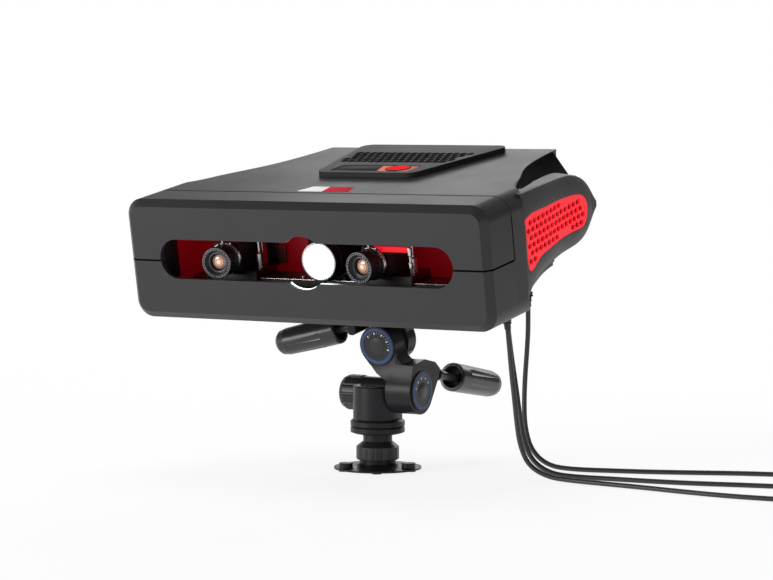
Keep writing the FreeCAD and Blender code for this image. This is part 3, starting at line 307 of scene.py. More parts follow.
def moulded(name, colour, rough=0.46, grain=1400, relief=0.12, gloss=0.36):
    """Spark-eroded plastic: a fine even grain and a faint change of gloss."""
    s = Surface(name)
    cloud = s.noise(scale=18, detail=3)
    fine = s.noise(scale=grain, detail=2, roughness=0.6)
    paler = tuple(c * 1.7 + 0.004 for c in colour)
    s.set(
        Base_Color=s.colour_mix(cloud * 0.25, colour, paler),
        Roughness=cloud * 0.12 + fine * 0.10 + (rough - 0.11),
        Normal=s.bump(fine, strength=relief, distance=0.0004),
        Specular_IOR_Level=gloss,
    )
    return s.material


def cast(name, colour, rough=0.38, gloss=0.30):
    """Anodised casting: a finer grain under a thin sheen."""
    s = Surface(name)
    cloud = s.noise(scale=35, detail=3)
    fine = s.noise(scale=2600, detail=1)
    paler = tuple(c * 1.6 + 0.003 for c in colour)
    s.set(
        Base_Color=s.colour_mix(cloud * 0.3, colour, paler),
        Roughness=cloud * 0.12 + (rough - 0.06),
        Normal=s.bump(fine, strength=0.08, distance=0.0003),
        Specular_IOR_Level=gloss,
    )
    return s.material


def metal(name, colour, rough=0.25):
    """Turned or milled metal with a soft mottle."""
    s = Surface(name)
    mottle = s.noise(scale=220, detail=4, roughness=0.7)
    darker = tuple(c * 0.78 for c in colour)
    s.set(
        Base_Color=s.colour_mix(mottle * 0.5, colour, darker),
        Metallic=1.0,
        Roughness=mottle * 0.14 + (rough - 0.05),
        Normal=s.bump(mottle, strength=0.05, distance=0.0003),
    )
    return s.material


def painted_red():
    """The liner's red paint, with a trace of glow for the light that it holds."""
    s = Surface("red paint")
    cloud = s.noise(scale=22, detail=3)
    fine = s.noise(scale=900, detail=2)
    s.set(
        Base_Color=s.colour_mix(cloud * 0.5, (0.55, 0.004, 0.014), (0.42, 0.002, 0.010)),
        Emission_Color=(0.50, 0.003, 0.012),
        Emission_Strength=0.10,
        Roughness=cloud * 0.1 + 0.34,
        Normal=s.bump(fine, strength=0.06, distance=0.0003),
    )
    return s.material


def grille_red():
    """The grilles' bright red plastic, with a glow painted in for the light on it, so it stays
    bright in shade.
    """
    s = Surface("red grille")
    cloud = s.noise(scale=30, detail=3)
    fine = s.noise(scale=1500, detail=2)
    s.set(
        Base_Color=s.colour_mix(cloud * 0.4, (0.90, 0.010, 0.024), (0.78, 0.008, 0.020)),
        Roughness=cloud * 0.08 + 0.44,
        Normal=s.bump(fine, strength=0.07, distance=0.0003),
        Specular_IOR_Level=0.25,
        # Painted light: the grille glows with its own red.
        Emission_Color=(0.90, 0.012, 0.024),
        Emission_Strength=0.50,
    )
    return s.material


def jacket():
    """The cords' black jacket."""
    s = Surface("cord jacket")
    cloud = s.noise(scale=120, detail=3)
    fine = s.noise(scale=2500, detail=2)
    s.set(
        Base_Color=s.colour_mix(cloud * 0.5, (0.020, 0.020, 0.022), (0.040, 0.040, 0.043)),
        Roughness=cloud * 0.15 + 0.36,
        Normal=s.bump(fine, strength=0.08, distance=0.0002),
    )
    return s.material


def even(name, colour, rough=0.4, **more):
    """One plain colour."""
    s = Surface(name)
    s.set(Base_Color=colour, Roughness=rough, **more)
    return s.material


def coated_lens():
    """Multi-coated glass with painted reflections: rings of amber and rose that darken towards the
    rim, which also glow.
    """
    s = Surface("coated lens")
    radial = s.node("ShaderNodeUVMap")
    from_axis = s.node("ShaderNodeVectorMath", {"operation": "LENGTH"}, _0=radial)["Value"]
    # Painted reflections of the coating and the inner elements, by the distance from the axis.
    painted_reflections = s.ramp(
        from_axis,
        [
            (0.0, (0.85, 0.62, 0.42)), (0.20, (0.95, 0.70, 0.50)), (0.36, (0.42, 0.20, 0.11)),
            (0.50, (0.70, 0.38, 0.24)), (0.66, (0.22, 0.09, 0.06)), (0.80, (0.40, 0.24, 0.19)),
            (0.90, (0.07, 0.04, 0.04)), (1.0, (0.02, 0.014, 0.014)),
        ],
    )
    s.set(
        Base_Color=painted_reflections,
        Roughness=0.08,
        Coat_Weight=1.0,
        Coat_Roughness=0.02,
        # Painted light: the reflection rings glow as well.
        Emission_Color=painted_reflections,
        Emission_Strength=0.25,
    )
    return s.material


def lamp(name, colour, strength):
    """Pale glass that shines."""
    glass = (0.9, 0.95, 0.95)
    return even(name, glass, 0.2, Emission_Color=colour, Emission_Strength=strength)


def board_green():
    """Circuit board with paler tracks in a brick pattern."""
    s = Surface("circuit board")
    tracks = s.node(
        "ShaderNodeTexBrick",
        Vector=s.place,
        Scale=160,
        Color1=(0.02, 0.14, 0.06, 1),
        Color2=(0.015, 0.10, 0.045, 1),
        Mortar=(0.05, 0.24, 0.10, 1),
    )
    s.set(Base_Color=tracks, Roughness=0.4)
    return s.material


FINISHES = {
    "shell_black": moulded("housing plastic", (0.025, 0.024, 0.026), gloss=0.31),
    "vent_black": moulded("vent plastic", (0.028, 0.026, 0.028), rough=0.55, gloss=0.16),
    "grille_red": grille_red(),
    "liner_red": painted_red(),
    "head_casting": cast("black casting", (0.012, 0.012, 0.014), rough=0.34, gloss=0.2),
    "collar_plastic": moulded("ribbed plastic", (0.016, 0.016, 0.018), rough=0.36, grain=1800),
    "grip_plastic": moulded(
        "grip plastic", (0.018, 0.018, 0.021), rough=0.27, grain=2200, relief=0.04, gloss=0.5
    ),
    "dial_plastic": cast("dial face", (0.018, 0.018, 0.021), rough=0.30),
    "steel": metal("bright steel", (0.62, 0.61, 0.60)),
    "steel_black": cast("blackened steel", (0.026, 0.026, 0.027), rough=0.30),
    "foot_rubber": moulded("foot rubber", (0.016, 0.016, 0.016), rough=0.7),
    "rail_grey": metal("dark milled aluminium", (0.13, 0.13, 0.135), rough=0.34),
    "optics_black": cast("optics black", (0.014, 0.014, 0.016), rough=0.32),
    "lens_glass": coated_lens(),
    "lamp_glass": lamp("lit projector lens", (0.93, 1.0, 0.98, 1), 9.0),
    "board_green": board_green(),
    "gland_black": moulded("moulded rubber", (0.018, 0.018, 0.019), rough=0.45, grain=1500),
    "cord_black": jacket(),
}


def printed(name, colour, glow):
    """Matt ink with a glow painted in, so it stays bright at a low angle."""
    return even(
        name,
        colour,
        0.8,
        Specular_IOR_Level=0.03,
        # Painted light: the ink glows with its own colour.
        Emission_Color=(*colour, 1),
        Emission_Strength=glow,
    )


LABEL_BLACK = even("label black", (0.010, 0.010, 0.011), 0.6, Specular_IOR_Level=0.05)
# The last number is the strength of each print's painted glow.
LABEL_SALMON = printed("label salmon", (0.82, 0.26, 0.20), 0.25)
LABEL_RED = printed("label red", (0.86, 0.012, 0.02), 0.45)
STRIPE_WHITE = printed("stripe white", (0.88, 0.88, 0.88), 0.45)
STRIPE_RED = printed("stripe red", (0.62, 0.03, 0.05), 0.3)
DIAL_BLUE = even("dial blue", (0.010, 0.055, 0.20), 0.35)
DIAL_LINE = even("dial line", (0.035, 0.13, 0.34), 0.35)
# Painted shade: a dull black for the deep shade in the pods' scoops and in the parting gaps.
PAINTED_SHADE_BLACK = even("matt black", (0.004, 0.004, 0.005), 0.9, Specular_IOR_Level=0.02)
PRINT_WHITE = even("printed white", (0.75, 0.76, 0.78), 0.4)
# Grey metal: the rating plate's own colour, and on the lenses lighter rings as painted highlights.
PLATE_GREY_AND_RIM_HIGHLIGHT = even("rim grey", (0.16, 0.16, 0.17), 0.28, Metallic=0.9)
BRASS = even("brass", (0.62, 0.43, 0.17), 0.25, Metallic=1.0)
# Painted shade: a darker copy of the grille's red, seen through its holes.
GRILLE_SHADE_RED = even("backing red", (0.30, 0.004, 0.010), 0.55)
# Painted light: the glow of rims lit by the projector, which are no lamp.
PAINTED_RIM_GLOW = lamp("lit rim", (0.80, 1.0, 0.96, 1), 2.2)
COPPER_BROWN = even("brown connector", (0.16, 0.045, 0.022), 0.4)


# ---------------------------------------------------------------- pieces


def place_piece(name, mesh, material, body, slot=None, *nodes):
    """Links a finished mesh as a piece that moves with a body, and stands for CAD nodes."""
    item = bpy.data.objects.new(name, mesh)
    bpy.context.scene.collection.objects.link(item)
    mesh.materials.append(material)
    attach(item, body)
    if nodes:
        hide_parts(*nodes)
    return item


# Corners sharper than this, in degrees, stay crisp in the shading, and faces that turn by
# less than FLAT are one face. Vertices closer than the merge distances are one vertex.
CREASE = 38
FLAT = math.radians(0.5)
MERGE_METRES = 1e-6
MERGE_MM = 1e-4


def soften(bm, limit=CREASE):
    """Smooth shading with creases where the surface turns by more than the limit."""
    for face in bm.faces:
        face.smooth = True
    for edge in bm.edges:
        edge.smooth = len(edge.link_faces) == 2 and edge.calc_face_angle(0) < math.radians(limit)


def refined(node, bevel=0.0, limit=CREASE):
    """A CAD node's own form with its corners broken, in place of the node."""
    bm = bmesh.new()
    bm.from_mesh(frame["nodes"][node].data)
    bmesh.ops.remove_doubles(bm, verts=bm.verts, dist=MERGE_METRES)
    bmesh.ops.dissolve_limit(
        bm,
        angle_limit=FLAT,
        verts=bm.verts,
        edges=bm.edges,
        use_dissolve_boundaries=False,
    )
    soften(bm, limit)
    mesh = bpy.data.meshes.new(node + "_form")
    bm.to_mesh(mesh)
    bm.free()
    slot = SLOT_OF[node]
    item = place_piece(node + "_form", mesh, FINISHES[slot], BODY_OF[node], slot, node)
    if bevel:
        edge = item.modifiers.new("broken corners", "BEVEL")
        edge.width = bevel * MM
        edge.segments = 2
        edge.limit_method = "ANGLE"
        edge.angle_limit = math.radians(limit)
        edge.harden_normals = True
    return item


# How wide the broken corners of a node are, in millimetres.
BROKEN_CORNERS = {
    "vent_plate": 0.9,
    "front_hood": 0.5,
    "lower_shell": 0.5,
    "tilt_bracket": 0.5,
    "pan_body": 0.5,
}


# ---------------------------------------------------------------- cords

CORD_NAMES = ["data_cord_left", "data_cord_right", "power_cord"]
CORD_RADIUS = 2.5

# The height of a cord's centreline where it lies on the floor.
ON_FLOOR = 2.6

# The glands' places under the shell, in the scanner's frame, and the coils' on the floor.
GLANDS = [(160, 114), (140, 150), (134.5, 205)]
GLAND_LENGTH = 25
GLAND_GAP = 0.5
COIL_CENTRES = [(508, -44), (478, 42), (446, 126)]

# Each cord's way from its gland down to the floor and along it to the coil.
ROUTES = [
    [
        (160, -10.2, 129), (161, -8, 106), (163.3, -6.5, 82), (165.5, -5.5, 58), (168.5, -4, 35),
        (176, 0, 15), (195.5, 4.5, 4.4), (222, 6, 2.6), (256, 2.5, 2.6), (300, -1.5, 2.6),
        (348, -9, 2.6), (400, -14, 2.6), (450, -9.5, 2.6),
    ],
    [
        (140.5, 25.5, 133), (144, 26, 110), (149, 24.5, 86), (154, 22, 62), (158.5, 21, 38),
        (167, 24, 16.5), (185.5, 29, 4.6), (211, 33, 2.6), (245, 38, 2.6), (288, 42, 2.6),
        (335, 51, 2.6), (384, 66, 2.6), (430, 77, 2.6),
    ],
    [
        (133, 78.5, 146), (131, 79.5, 122), (129.8, 78, 97), (130.3, 75, 71), (133, 71.5, 45),
        (140.5, 71.5, 20.5), (158, 76, 5.2), (184.5, 83.5, 2.6), (217, 93, 2.6), (256, 105, 2.6),
        (300, 124, 2.6), (348, 146, 2.6), (398, 160, 2.6),
    ],
]

# A coil winds inwards, climbs on to itself and winds out again.
COIL_RADIUS = 38.4
TURN_PITCH = 5.05
POINTS_PER_TURN = 16
INWARD_TURNS = 3.45
CLIMB_TURNS = 0.3
ALL_TURNS = 7 + 1 / 12
LAYER_RISE = 5.1

# From the top layer down to the back of the plug, from the coil's centre.
PLUG_LEAD = [
    (26, 26.5, 7.7), (33.5, 22.5, 7.3), (39.5, 19, 6),
    (43.8, 15.8, 4.4), (45.9, 12.5, 3.6), (46, 8, 3.5),
]


def coil_points(centre):
    """A neat round coil: in along the floor, up one diameter, and out again on top."""
    cx, cy = centre
    inner = COIL_RADIUS - TURN_PITCH * INWARD_TURNS
    points = []
    for step in range(1, round(ALL_TURNS * POINTS_PER_TURN) + 1):
        wound = step / POINTS_PER_TURN
        climb = min(1, max(0, (wound - INWARD_TURNS) / CLIMB_TURNS))
        if wound < INWARD_TURNS:
            radius = COIL_RADIUS - TURN_PITCH * wound
        else:
            radius = inner + TURN_PITCH * max(0, wound - INWARD_TURNS - CLIMB_TURNS)
        angle = math.radians(90 - 360 * wound)
        height = ON_FLOOR + LAYER_RISE * climb
        points.append((cx + radius * math.cos(angle), cy + radius * math.sin(angle), height))
    return points + [(cx + x, cy + y, z) for x, y, z in PLUG_LEAD]


def cord_points(k):
    """Every control point of a cord, in metres, from its gland to its plug."""
    x, y = GLANDS[k]
    exit_point = scanner(x, y, -HALF_HEIGHT - GLAND_LENGTH - GLAND_GAP)
    cx, cy = COIL_CENTRES[k]
    points = ROUTES[k] + [(cx, cy + COIL_RADIUS, ON_FLOOR)]
    points += coil_points(COIL_CENTRES[k])
    return [exit_point] + [Vector(p) * MM for p in points]


def nurbs_curve(name, points):
    """One smooth open curve that follows its control points."""
    curve = bpy.data.curves.new(name, "CURVE")
    curve.dimensions = "3D"
    curve.resolution_u = 5
    spline = curve.splines.new("NURBS")
    spline.points.add(len(points) - 1)
    for slot, point in zip(spline.points, points):
        slot.co = (*point, 1)
    spline.order_u = 3
    spline.use_endpoint_u = True
    return curve


def meshed(curve):
    """The curve's mesh: a bare line, or a tube once it has a bevel."""
    holder = bpy.data.objects.new(curve.name, curve)
    bpy.context.scene.collection.objects.link(holder)
    bpy.context.view_layer.update()
    depsgraph = bpy.context.evaluated_depsgraph_get()
    mesh = bpy.data.meshes.new_from_object(holder.evaluated_get(depsgraph))
    bpy.data.objects.remove(holder)
    return mesh


def make_cords():
    """The three jackets, bending where they hang, with their glands, plugs and ties."""
    for k, name in enumerate(CORD_NAMES):
        curve = nurbs_curve(name, cord_points(k))
        path = [v.co.copy() for v in meshed(curve).vertices]
        curve.bevel_depth = CORD_RADIUS * MM
        curve.bevel_resolution = 3
        curve.use_fill_caps = True
        mesh = meshed(curve)
        mesh.name = name + "_jacket"
        for polygon in mesh.polygons:
            polygon.use_smooth = True
        item = bpy.data.objects.new(name + "_jacket", mesh)
        bpy.context.scene.collection.objects.link(item)
        mesh.materials.clear()
        mesh.materials.append(FINISHES["cord_black"])
        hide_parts(name, name + "_coil")
        ends = [make_gland(name, *GLANDS[k])] + make_plug(name, COIL_CENTRES[k])
        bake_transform(item)


# ---------------------------------------------------------------- carried-over nodes


def finish_nodes():
    """Every CAD node whose own form is right takes its finish."""
    for name, item in frame["nodes"].items():
        item.data.materials.clear()
        item.data.materials.append(FINISHES[SLOT_OF[name]])


# ---------------------------------------------------------------- shaping


def wire(bm, points, closed=False):
    """A chain of edges through points given in millimetres."""
    verts = [bm.verts.new(p) for p in points]
    following = verts[1:] + verts[:1] if closed else verts[1:]
    for pair in zip(verts, following):
        bm.edges.new(pair)
    return verts


def eased(bm, geometry, kind, width, segments=2):
    """Rounds corners or edges over a width."""
    bmesh.ops.bevel(
        bm,
        geom=geometry,
        offset=width,
        affect=kind,
        segments=segments,
        profile=0.5,
        material=-1,
        offset_type="OFFSET",
        clamp_overlap=True,
    )


def spun(profile, ease=0.0, segments=72, closed=False):
    """A form turned round Z from (radius, height) pairs, its corners eased before the turn."""
    bm = bmesh.new()
    verts = wire(bm, [(r, 0, z) for r, z in profile], closed)
    if ease:
        off_axis = [v for v in verts if v.co.x > MERGE_MM and len(v.link_edges) == 2]
        eased(bm, off_axis, "VERTICES", ease)
    bmesh.ops.spin(
        bm,
        geom=bm.verts[:] + bm.edges[:],
        cent=(0, 0, 0),
        axis=(0, 0, 1),
        angle=2 * math.pi,
        steps=segments,
        use_merge=True,
    )
    bmesh.ops.remove_doubles(bm, verts=bm.verts, dist=MERGE_MM)
    bmesh.ops.recalc_face_normals(bm, faces=bm.faces)
    return bm


def slab(outline, low, high, ease=0.0, segments=2):
    """A flat piece from (x, y) corners between two heights, its edges eased."""
    bm = bmesh.new()
    face = bm.faces.new([bm.verts.new((x, y, low)) for x, y in outline])
    grown = bmesh.ops.extrude_face_region(bm, geom=[face])["geom"]
    raised = [v for v in grown if isinstance(v, bmesh.types.BMVert)]
    bmesh.ops.translate(bm, verts=raised, vec=(0, 0, high - low))
    bmesh.ops.recalc_face_normals(bm, faces=bm.faces)
    if ease:
        eased(bm, bm.edges[:], "EDGES", ease, segments)
    return bm


def brick(length, width, height, ease=0.0):
    """A block on the XY plane, centred on Z."""
    half_l, half_w = length / 2, width / 2
    corners = [(-half_l, -half_w), (half_l, -half_w), (half_l, half_w), (-half_l, half_w)]
    return slab(corners, 0, height, ease)


def washer(inner, outer, low, high, ease=0.0, segments=72):
    """A flat ring between two radii and two heights."""
    section = [(inner, low), (inner, high), (outer, high), (outer, low)]
    return spun(section, ease, segments, closed=True)


def joined(*forms):
    """Several forms as one, each with its place or None."""
    whole = bmesh.new()
    for form, place in forms:
        if place is not None:
            form.transform(place)
        mesh = bpy.data.meshes.new("part")
        form.to_mesh(mesh)
        form.free()
        whole.from_mesh(mesh)
        bpy.data.meshes.remove(mesh)
    return whole


def move(x=0, y=0, z=0):
    """A shift."""
    return Matrix.Translation((x, y, z))


def turn(degrees, axis):
    """A turn about an axis through the origin."""
    return Matrix.Rotation(math.radians(degrees), 4, axis)


def finish_form(name, bm, place, finish, body, slot, *nodes):
    """Stands a form in the row's frame and makes it a piece."""
    bm.transform(TO_METRES @ place)
    soften(bm)
    mesh = bpy.data.meshes.new(name)
    bm.to_mesh(mesh)
    bm.free()
    return place_piece(name, mesh, finish, body, slot, *nodes)


# ---------------------------------------------------------------- labels on top

PLATE_TOP = 66.1
ON_PLATE = SCANNER_MM @ move(z=PLATE_TOP)
ON_SHELL = SCANNER_MM @ move(z=HALF_HEIGHT)
LABEL_THICKNESS = 0.45
STRIPE_THICKNESS = 0.3


def make_labels():
    """The bare label band and disc in the vent plate, and the stripe behind the hood."""

    def label(name, outline, finish):
        form = slab(outline, 0, LABEL_THICKNESS, 0.15)
        finish_form(name, form, ON_PLATE, finish, "head", "vent_black")

    def stripe(name, outline, finish):
        form = slab(outline, 0, STRIPE_THICKNESS, 0.1)
        finish_form(name, form, ON_SHELL, finish, "head", "shell_black")

    label("label_band", [(-44, 139), (8, 139), (1, 164), (-44, 164)], LABEL_BLACK)
    label("label_flash", [(9.2, 139), (44.5, 139), (44.5, 164), (2.2, 164)], LABEL_SALMON)
    place = ON_PLATE @ move(27, 151.5)
    disc = spun([(0, 0.4), (12.6, 0.4), (12.6, 1.1), (11.8, 1.3), (0, 1.3)], 0.1)
    finish_form("label_disc", disc, place, LABEL_RED, "head", "vent_black")
    rim = washer(11.9, 13.4, 0.3, 1.2, 0.1)
    finish_form("label_rim", rim, place, LABEL_BLACK, "head", "vent_black")
    stripe("stripe_white", [(-35, 57), (-6, 57), (-10, 79), (-29, 79)], STRIPE_WHITE)
    stripe("stripe_red", [(-5.8, 57), (25, 57), (18, 79), (-9.8, 79)], STRIPE_RED)


# ---------------------------------------------------------------- dials of the head

ROLL_DIAL = SCANNER_MM @ move(12, 103.2, -108.2) @ turn(90, "X")
TILT_DIAL = SCANNER_MM @ move(53.5, 116.4, -156.8) @ turn(90, "Z") @ turn(90, "X")
DIAL_RADIUS = 20
DIAL_TICKS = 13
LONG_TICK_EVERY = 3


def make_dial(name, place, first, last):
    """A blue ring with a thin pale line, a degree scale and a bare centre plate."""

    def part(kind, form, finish):
        finish_form(f"{name}_{kind}", form, place, finish, BODY_OF["dial_caps"], "dial_plastic")

    part("ring", washer(DIAL_RADIUS - 4.2, DIAL_RADIUS - 2.7, 0, 0.3, 0.08), DIAL_BLUE)
    part("line", washer(DIAL_RADIUS - 2.3, DIAL_RADIUS - 1.8, 0, 0.22), DIAL_LINE)
    ticks = []
    for k in range(DIAL_TICKS):
        angle = first + (last - first) * k / (DIAL_TICKS - 1)
        length, width = (2.2, 1.1) if k % LONG_TICK_EVERY == 0 else (0.9, 0.4)
        reach = move(DIAL_RADIUS - 5.6 - length / 2)
        ticks.append((brick(length, width, 0.2), turn(angle, "Z") @ reach))
    part("scale", joined(*ticks), PRINT_WHITE)
    plate_radius = DIAL_RADIUS - 11.5
    plate = spun([(0, 0), (plate_radius, 0), (plate_radius, 0.25), (0, 0.4)], 0.1)
    part("plate", plate, FINISHES["steel_black"])


# ---------------------------------------------------------------- optics

LENS_FRONT = {"left": (-109.6, 10, -4), "right": (58.4, 10, -4)}
TOE_IN = math.radians(8)


def lens_place(side):
    """The lens frame: its origin in the middle of the lens front, +Z backwards."""
    down = Vector((0, 0, -1))
    back = Vector((SIDES[side] * math.sin(TOE_IN), math.cos(TOE_IN), 0))
    axes = Matrix((down.cross(back), down, back)).transposed().to_4x4()
    return SCANNER_MM @ move(*LENS_FRONT[side]) @ axes


# Half sections as (radius, distance behind the lens front).
BARREL = [
    # outside: the front lip, the focus ring's seat and the rear rings
    (12.4, 0.4), (12.4, 0), (14.9, 0), (15.7, 0.9), (15.7, 5.6), (15.2, 6), (12.5, 6),
    (12.5, 14.4), (15.0, 14.4), (15.5, 14.9), (15.5, 16.4), (14.9, 16.9), (15.5, 17.4),
    (15.5, 19.2), (15, 19.7), (12.5, 19.7), (12.5, 27),
    # inside: forwards through the bore and out over the steps round the glass
    (7.4, 27), (7.4, 10), (8.4, 10), (8.4, 5.6), (8.7, 5.0), (9.3, 4.9), (9.5, 4.2),
    (10.2, 4.0), (10.4, 3.2), (11.1, 3.0), (11.3, 2.2), (12.0, 1.9),
]
MOUNT = [
    (12.5, 19.9), (16.2, 19.9), (16.7, 20.4), (16.7, 21.3), (16.1, 21.7),
    (16.7, 22.1), (16.7, 23), (16.2, 23.5), (12.5, 23.5),
]
GLASS_RADIUS = 8.3
GLASS = [
    (0, 5.2), (2.2, 5.32), (3.8, 5.6), (5.4, 6.1), (6.7, 6.7), (7.7, 7.4),
    (GLASS_RADIUS, 8), (GLASS_RADIUS, 10), (0, 10),
]
LENS_SEGMENTS = 64
FRONT_MARKS = 28
SCALE_LINES = 13


def radial_uv(item, radius, centre_place):
    """A UV map whose length is the distance from the form's axis, one at the radius."""
    uv = item.data.uv_layers.new(name="radial")
    back = (TO_METRES @ centre_place).inverted()
    for loop in item.data.loops:
        local = back @ item.data.vertices[loop.vertex_index].co
        uv.data[loop.index].uv = (math.hypot(local.x, local.y) / radius, 0)


def make_lens(side):
    """A lens barrel with lighter rims as painted highlights, its mount ring, coated glass and
    scales.
    """
    place = lens_place(side)
    body = BODY_OF["lens_barrel_" + side]

    def part(name, form, finish, slot, *nodes):
        return finish_form(f"{name}_{side}", form, place, finish, body, slot, *nodes)

    barrel = spun(BARREL, 0.12, LENS_SEGMENTS, closed=True)
    black = FINISHES["optics_black"]
    part("lens_barrel_form", barrel, black, "optics_black", "lens_barrel_" + side)
    # Painted highlights: lighter rings on the front lip and round the glass.
    rim_section = [(14.7, -0.1), (15.5, -0.1), (15.85, 0.4), (15.85, 1.1), (14.7, 1.1)]
    rim = spun(rim_section, 0.08, LENS_SEGMENTS, closed=True)
    inner = washer(9.5, 10.1, 3.7, 4.3, 0.05, LENS_SEGMENTS)
    part("lens_rim_highlight", joined((rim, None), (inner, None)), PLATE_GREY_AND_RIM_HIGHLIGHT, "optics_black")
    mount = spun(MOUNT, 0.1, LENS_SEGMENTS, closed=True)
    part("lens_mount", mount, FINISHES["steel"], "optics_black")
    coated = FINISHES["lens_glass"]
    glass = part("lens_glass_form", spun(GLASS, 0, 48), coated, "lens_glass", "lens_glass_" + side)
    radial_uv(glass, GLASS_RADIUS, place)
    marks = []
    for k in range(FRONT_MARKS):
        angle = 360 / FRONT_MARKS * k + 4
        marks.append((brick(0.35, 1.2, 0.16), turn(angle, "Z") @ move(13.6, 0, -0.12)))
    part("lens_print", joined(*marks), PRINT_WHITE, "optics_black")
    lines = []
    for k in range(SCALE_LINES):
        line = brick(0.2, 0.5, 1.5 if k % LONG_TICK_EVERY else 2.4)
        lines.append((line, turn(10 * k - 150, "Z") @ move(15.52, 0, 17.5)))
    part("lens_scale", joined(*lines), PRINT_WHITE, "optics_black")


# The middle of the projector's front, +Z backwards.
PROJECTOR = SCANNER_MM @ move(0, 30, -4) @ turn(-90, "X")


def make_projector_front():
    """The bezel round the lit lens: an inner rim with a painted glow for the lens's light, and a
    bright outer ring.
    """
    body = BODY_OF["projector_barrel"]
    rim = spun([(17.15, 1.4), (17.15, 5.4), (16.9, 5.4), (16.9, 1.6)], closed=True)
    finish_form("projector_rim", rim, PROJECTOR, PAINTED_RIM_GLOW, body, "optics_black")
    bezel = spun([(17.4, -0.5), (19.4, -0.5), (19.9, 0), (17.3, 0)], 0.08, closed=True)
    finish_form("projector_bezel", bezel, PROJECTOR, FINISHES["steel"], body, "optics_black")


# The round window's centre height, and the arc of its edge that gets a painted glow for the
# projector's light.
NOTCH_HEIGHT = 1.25
GLOW_START, GLOW_STEP, GLOW_STEPS = -130, 2.8, 25
GLOW_SECTION = [(26.9, 2.8), (26.9, 4.4), (26.4, 4.4), (26.4, 2.8)]


def make_notch_glow():
    """A painted glow on the lower edge of the projector's round window, for the light that it
    catches.
    """
    bm = bmesh.new()
    rings = []
    for step in range(GLOW_STEPS):
        angle = math.radians(GLOW_START + GLOW_STEP * step)
        rings.append([
            bm.verts.new((r * math.cos(angle), y, r * math.sin(angle) + NOTCH_HEIGHT))
            for r, y in GLOW_SECTION
        ])
    for near, far in zip(rings, rings[1:]):
        for k in range(4):
            bm.faces.new((near[k], near[k - 1], far[k - 1], far[k]))
    bm.faces.new(rings[0])
    bm.faces.new(rings[-1][::-1])
    bmesh.ops.recalc_face_normals(bm, faces=bm.faces)
    finish_form("notch_glow", bm, SCANNER_MM, PAINTED_RIM_GLOW, "head", "shell_black")


# The seams, black ribbons of painted shadow, stand this far out from the shell, so their dark faces
# show.
SEAM_OUT = 0.07
HALF_WIDTH = 210
HOOD_DEPTH = 50.3


def make_seam_shadows():
    """Painted shadow in the parting lines: black ribbons below the hood's lower edge and behind its
    rear edge.
    """
    outer = HALF_WIDTH + SEAM_OUT
    path = [(170.6, -SEAM_OUT), (202.83, -SEAM_OUT), (outer, 7.17), (outer, HOOD_DEPTH)]
    rear_edge = (HOOD_DEPTH + 0.05, HOOD_DEPTH + 1.1)
    for name, side in SIDES.items():
        bm = bmesh.new()
        rows = [[bm.verts.new((side * x, y, z)) for z in (-1.6, -0.1)] for x, y in path]
        for near, far in zip(rows, rows[1:]):
            bm.faces.new((near[0], far[0], far[1], near[1]))
        low, high = [[bm.verts.new((side * outer, y, z)) for y in rear_edge] for z in (-0.1, 43)]
        bm.faces.new((low[0], high[0], high[1], low[1]))
        bmesh.ops.solidify(bm, geom=bm.faces[:], thickness=0.05)
        bmesh.ops.recalc_face_normals(bm, faces=bm.faces)
        finish_form("seam_" + name, bm, SCANNER_MM, PAINTED_SHADE_BLACK, "head", "shell_black")


# ---------------------------------------------------------------- small fittings inside the slot

POST_FOOT, POST_TOP = -58.4, 22.4
FITTING_FINISHES = {
    "silver": (FINISHES["steel"], "steel"),
    "black": (FINISHES["optics_black"], "optics_black"),
    "brown": (COPPER_BROWN, "optics_black"),
}


def make_fittings():
    """Posts, thumb screws and connectors beside the cameras, and a black sheet of painted shadow at
    the slot's left end.
    """
    pieces = {kind: [] for kind in FITTING_FINISHES}

    def add(kind, form, *place):
        pieces[kind].append((form, move(*place)))

    def post(kind, x, y, top, radius):
        height = top - POST_FOOT
        rod = spun([(0, 0), (radius, 0), (radius, height), (0, height)], 0.2, 24)
        add(kind, rod, x, y, POST_FOOT)

    def screw(x, y, z, radius):
        head = [(0, 0), (radius, 0), (radius, 1.6), (radius - 0.4, 2.0), (0, 2.0)]
        add("silver", spun(head, 0.1, 24), x, y, z)

    post("silver", -107, 90, POST_TOP, 1.2)
    post("silver", 146, 84, POST_TOP, 1.2)
    post("black", -107, 90, -30, 3.4)
    for x in (-34, 14, 160):
        screw(x, 52, -25.95, 2.4)
    add("brown", brick(9, 3, 19, 0.3), -84, 92, -22)
    add("black", brick(13, 4, 24, 0.5), -96, 93, -24)
    add("silver", brick(330, 0.5, 1.2, 0.1), 0, 44.7, -27.4)
    # Painted shadow: a black sheet on the liner's left flank, where the slot's end lies in shade.
    add("black", slab([(-172.3, 8), (-171.7, 8), (-171.7, 33), (-172.3, 33)], -24, 22.5, 0.1))
    for kind, (finish, slot) in FITTING_FINISHES.items():
        finish_form("inside_" + kind, joined(*pieces[kind]), SCANNER_MM, finish, "head", slot)


# Half sections as (radius, height) of the thumb screw and the two kinds of lock screw.
THUMB_SCREW = [
    (0, -27), (1.1, -27), (1.1, -9), (2.1, -8.4), (2.1, -3),
    (1.3, -2.4), (1.3, 4), (2.6, 4.6), (2.6, 12), (0, 12.4),
]
LOCK_HEAD = [(0, 0), (1.1, 0), (1.1, 5), (0.7, 5.4), (0, 5.4)]
LOCK_STUB = [(0, 0), (1.0, 0), (1.0, 5), (0, 5)]


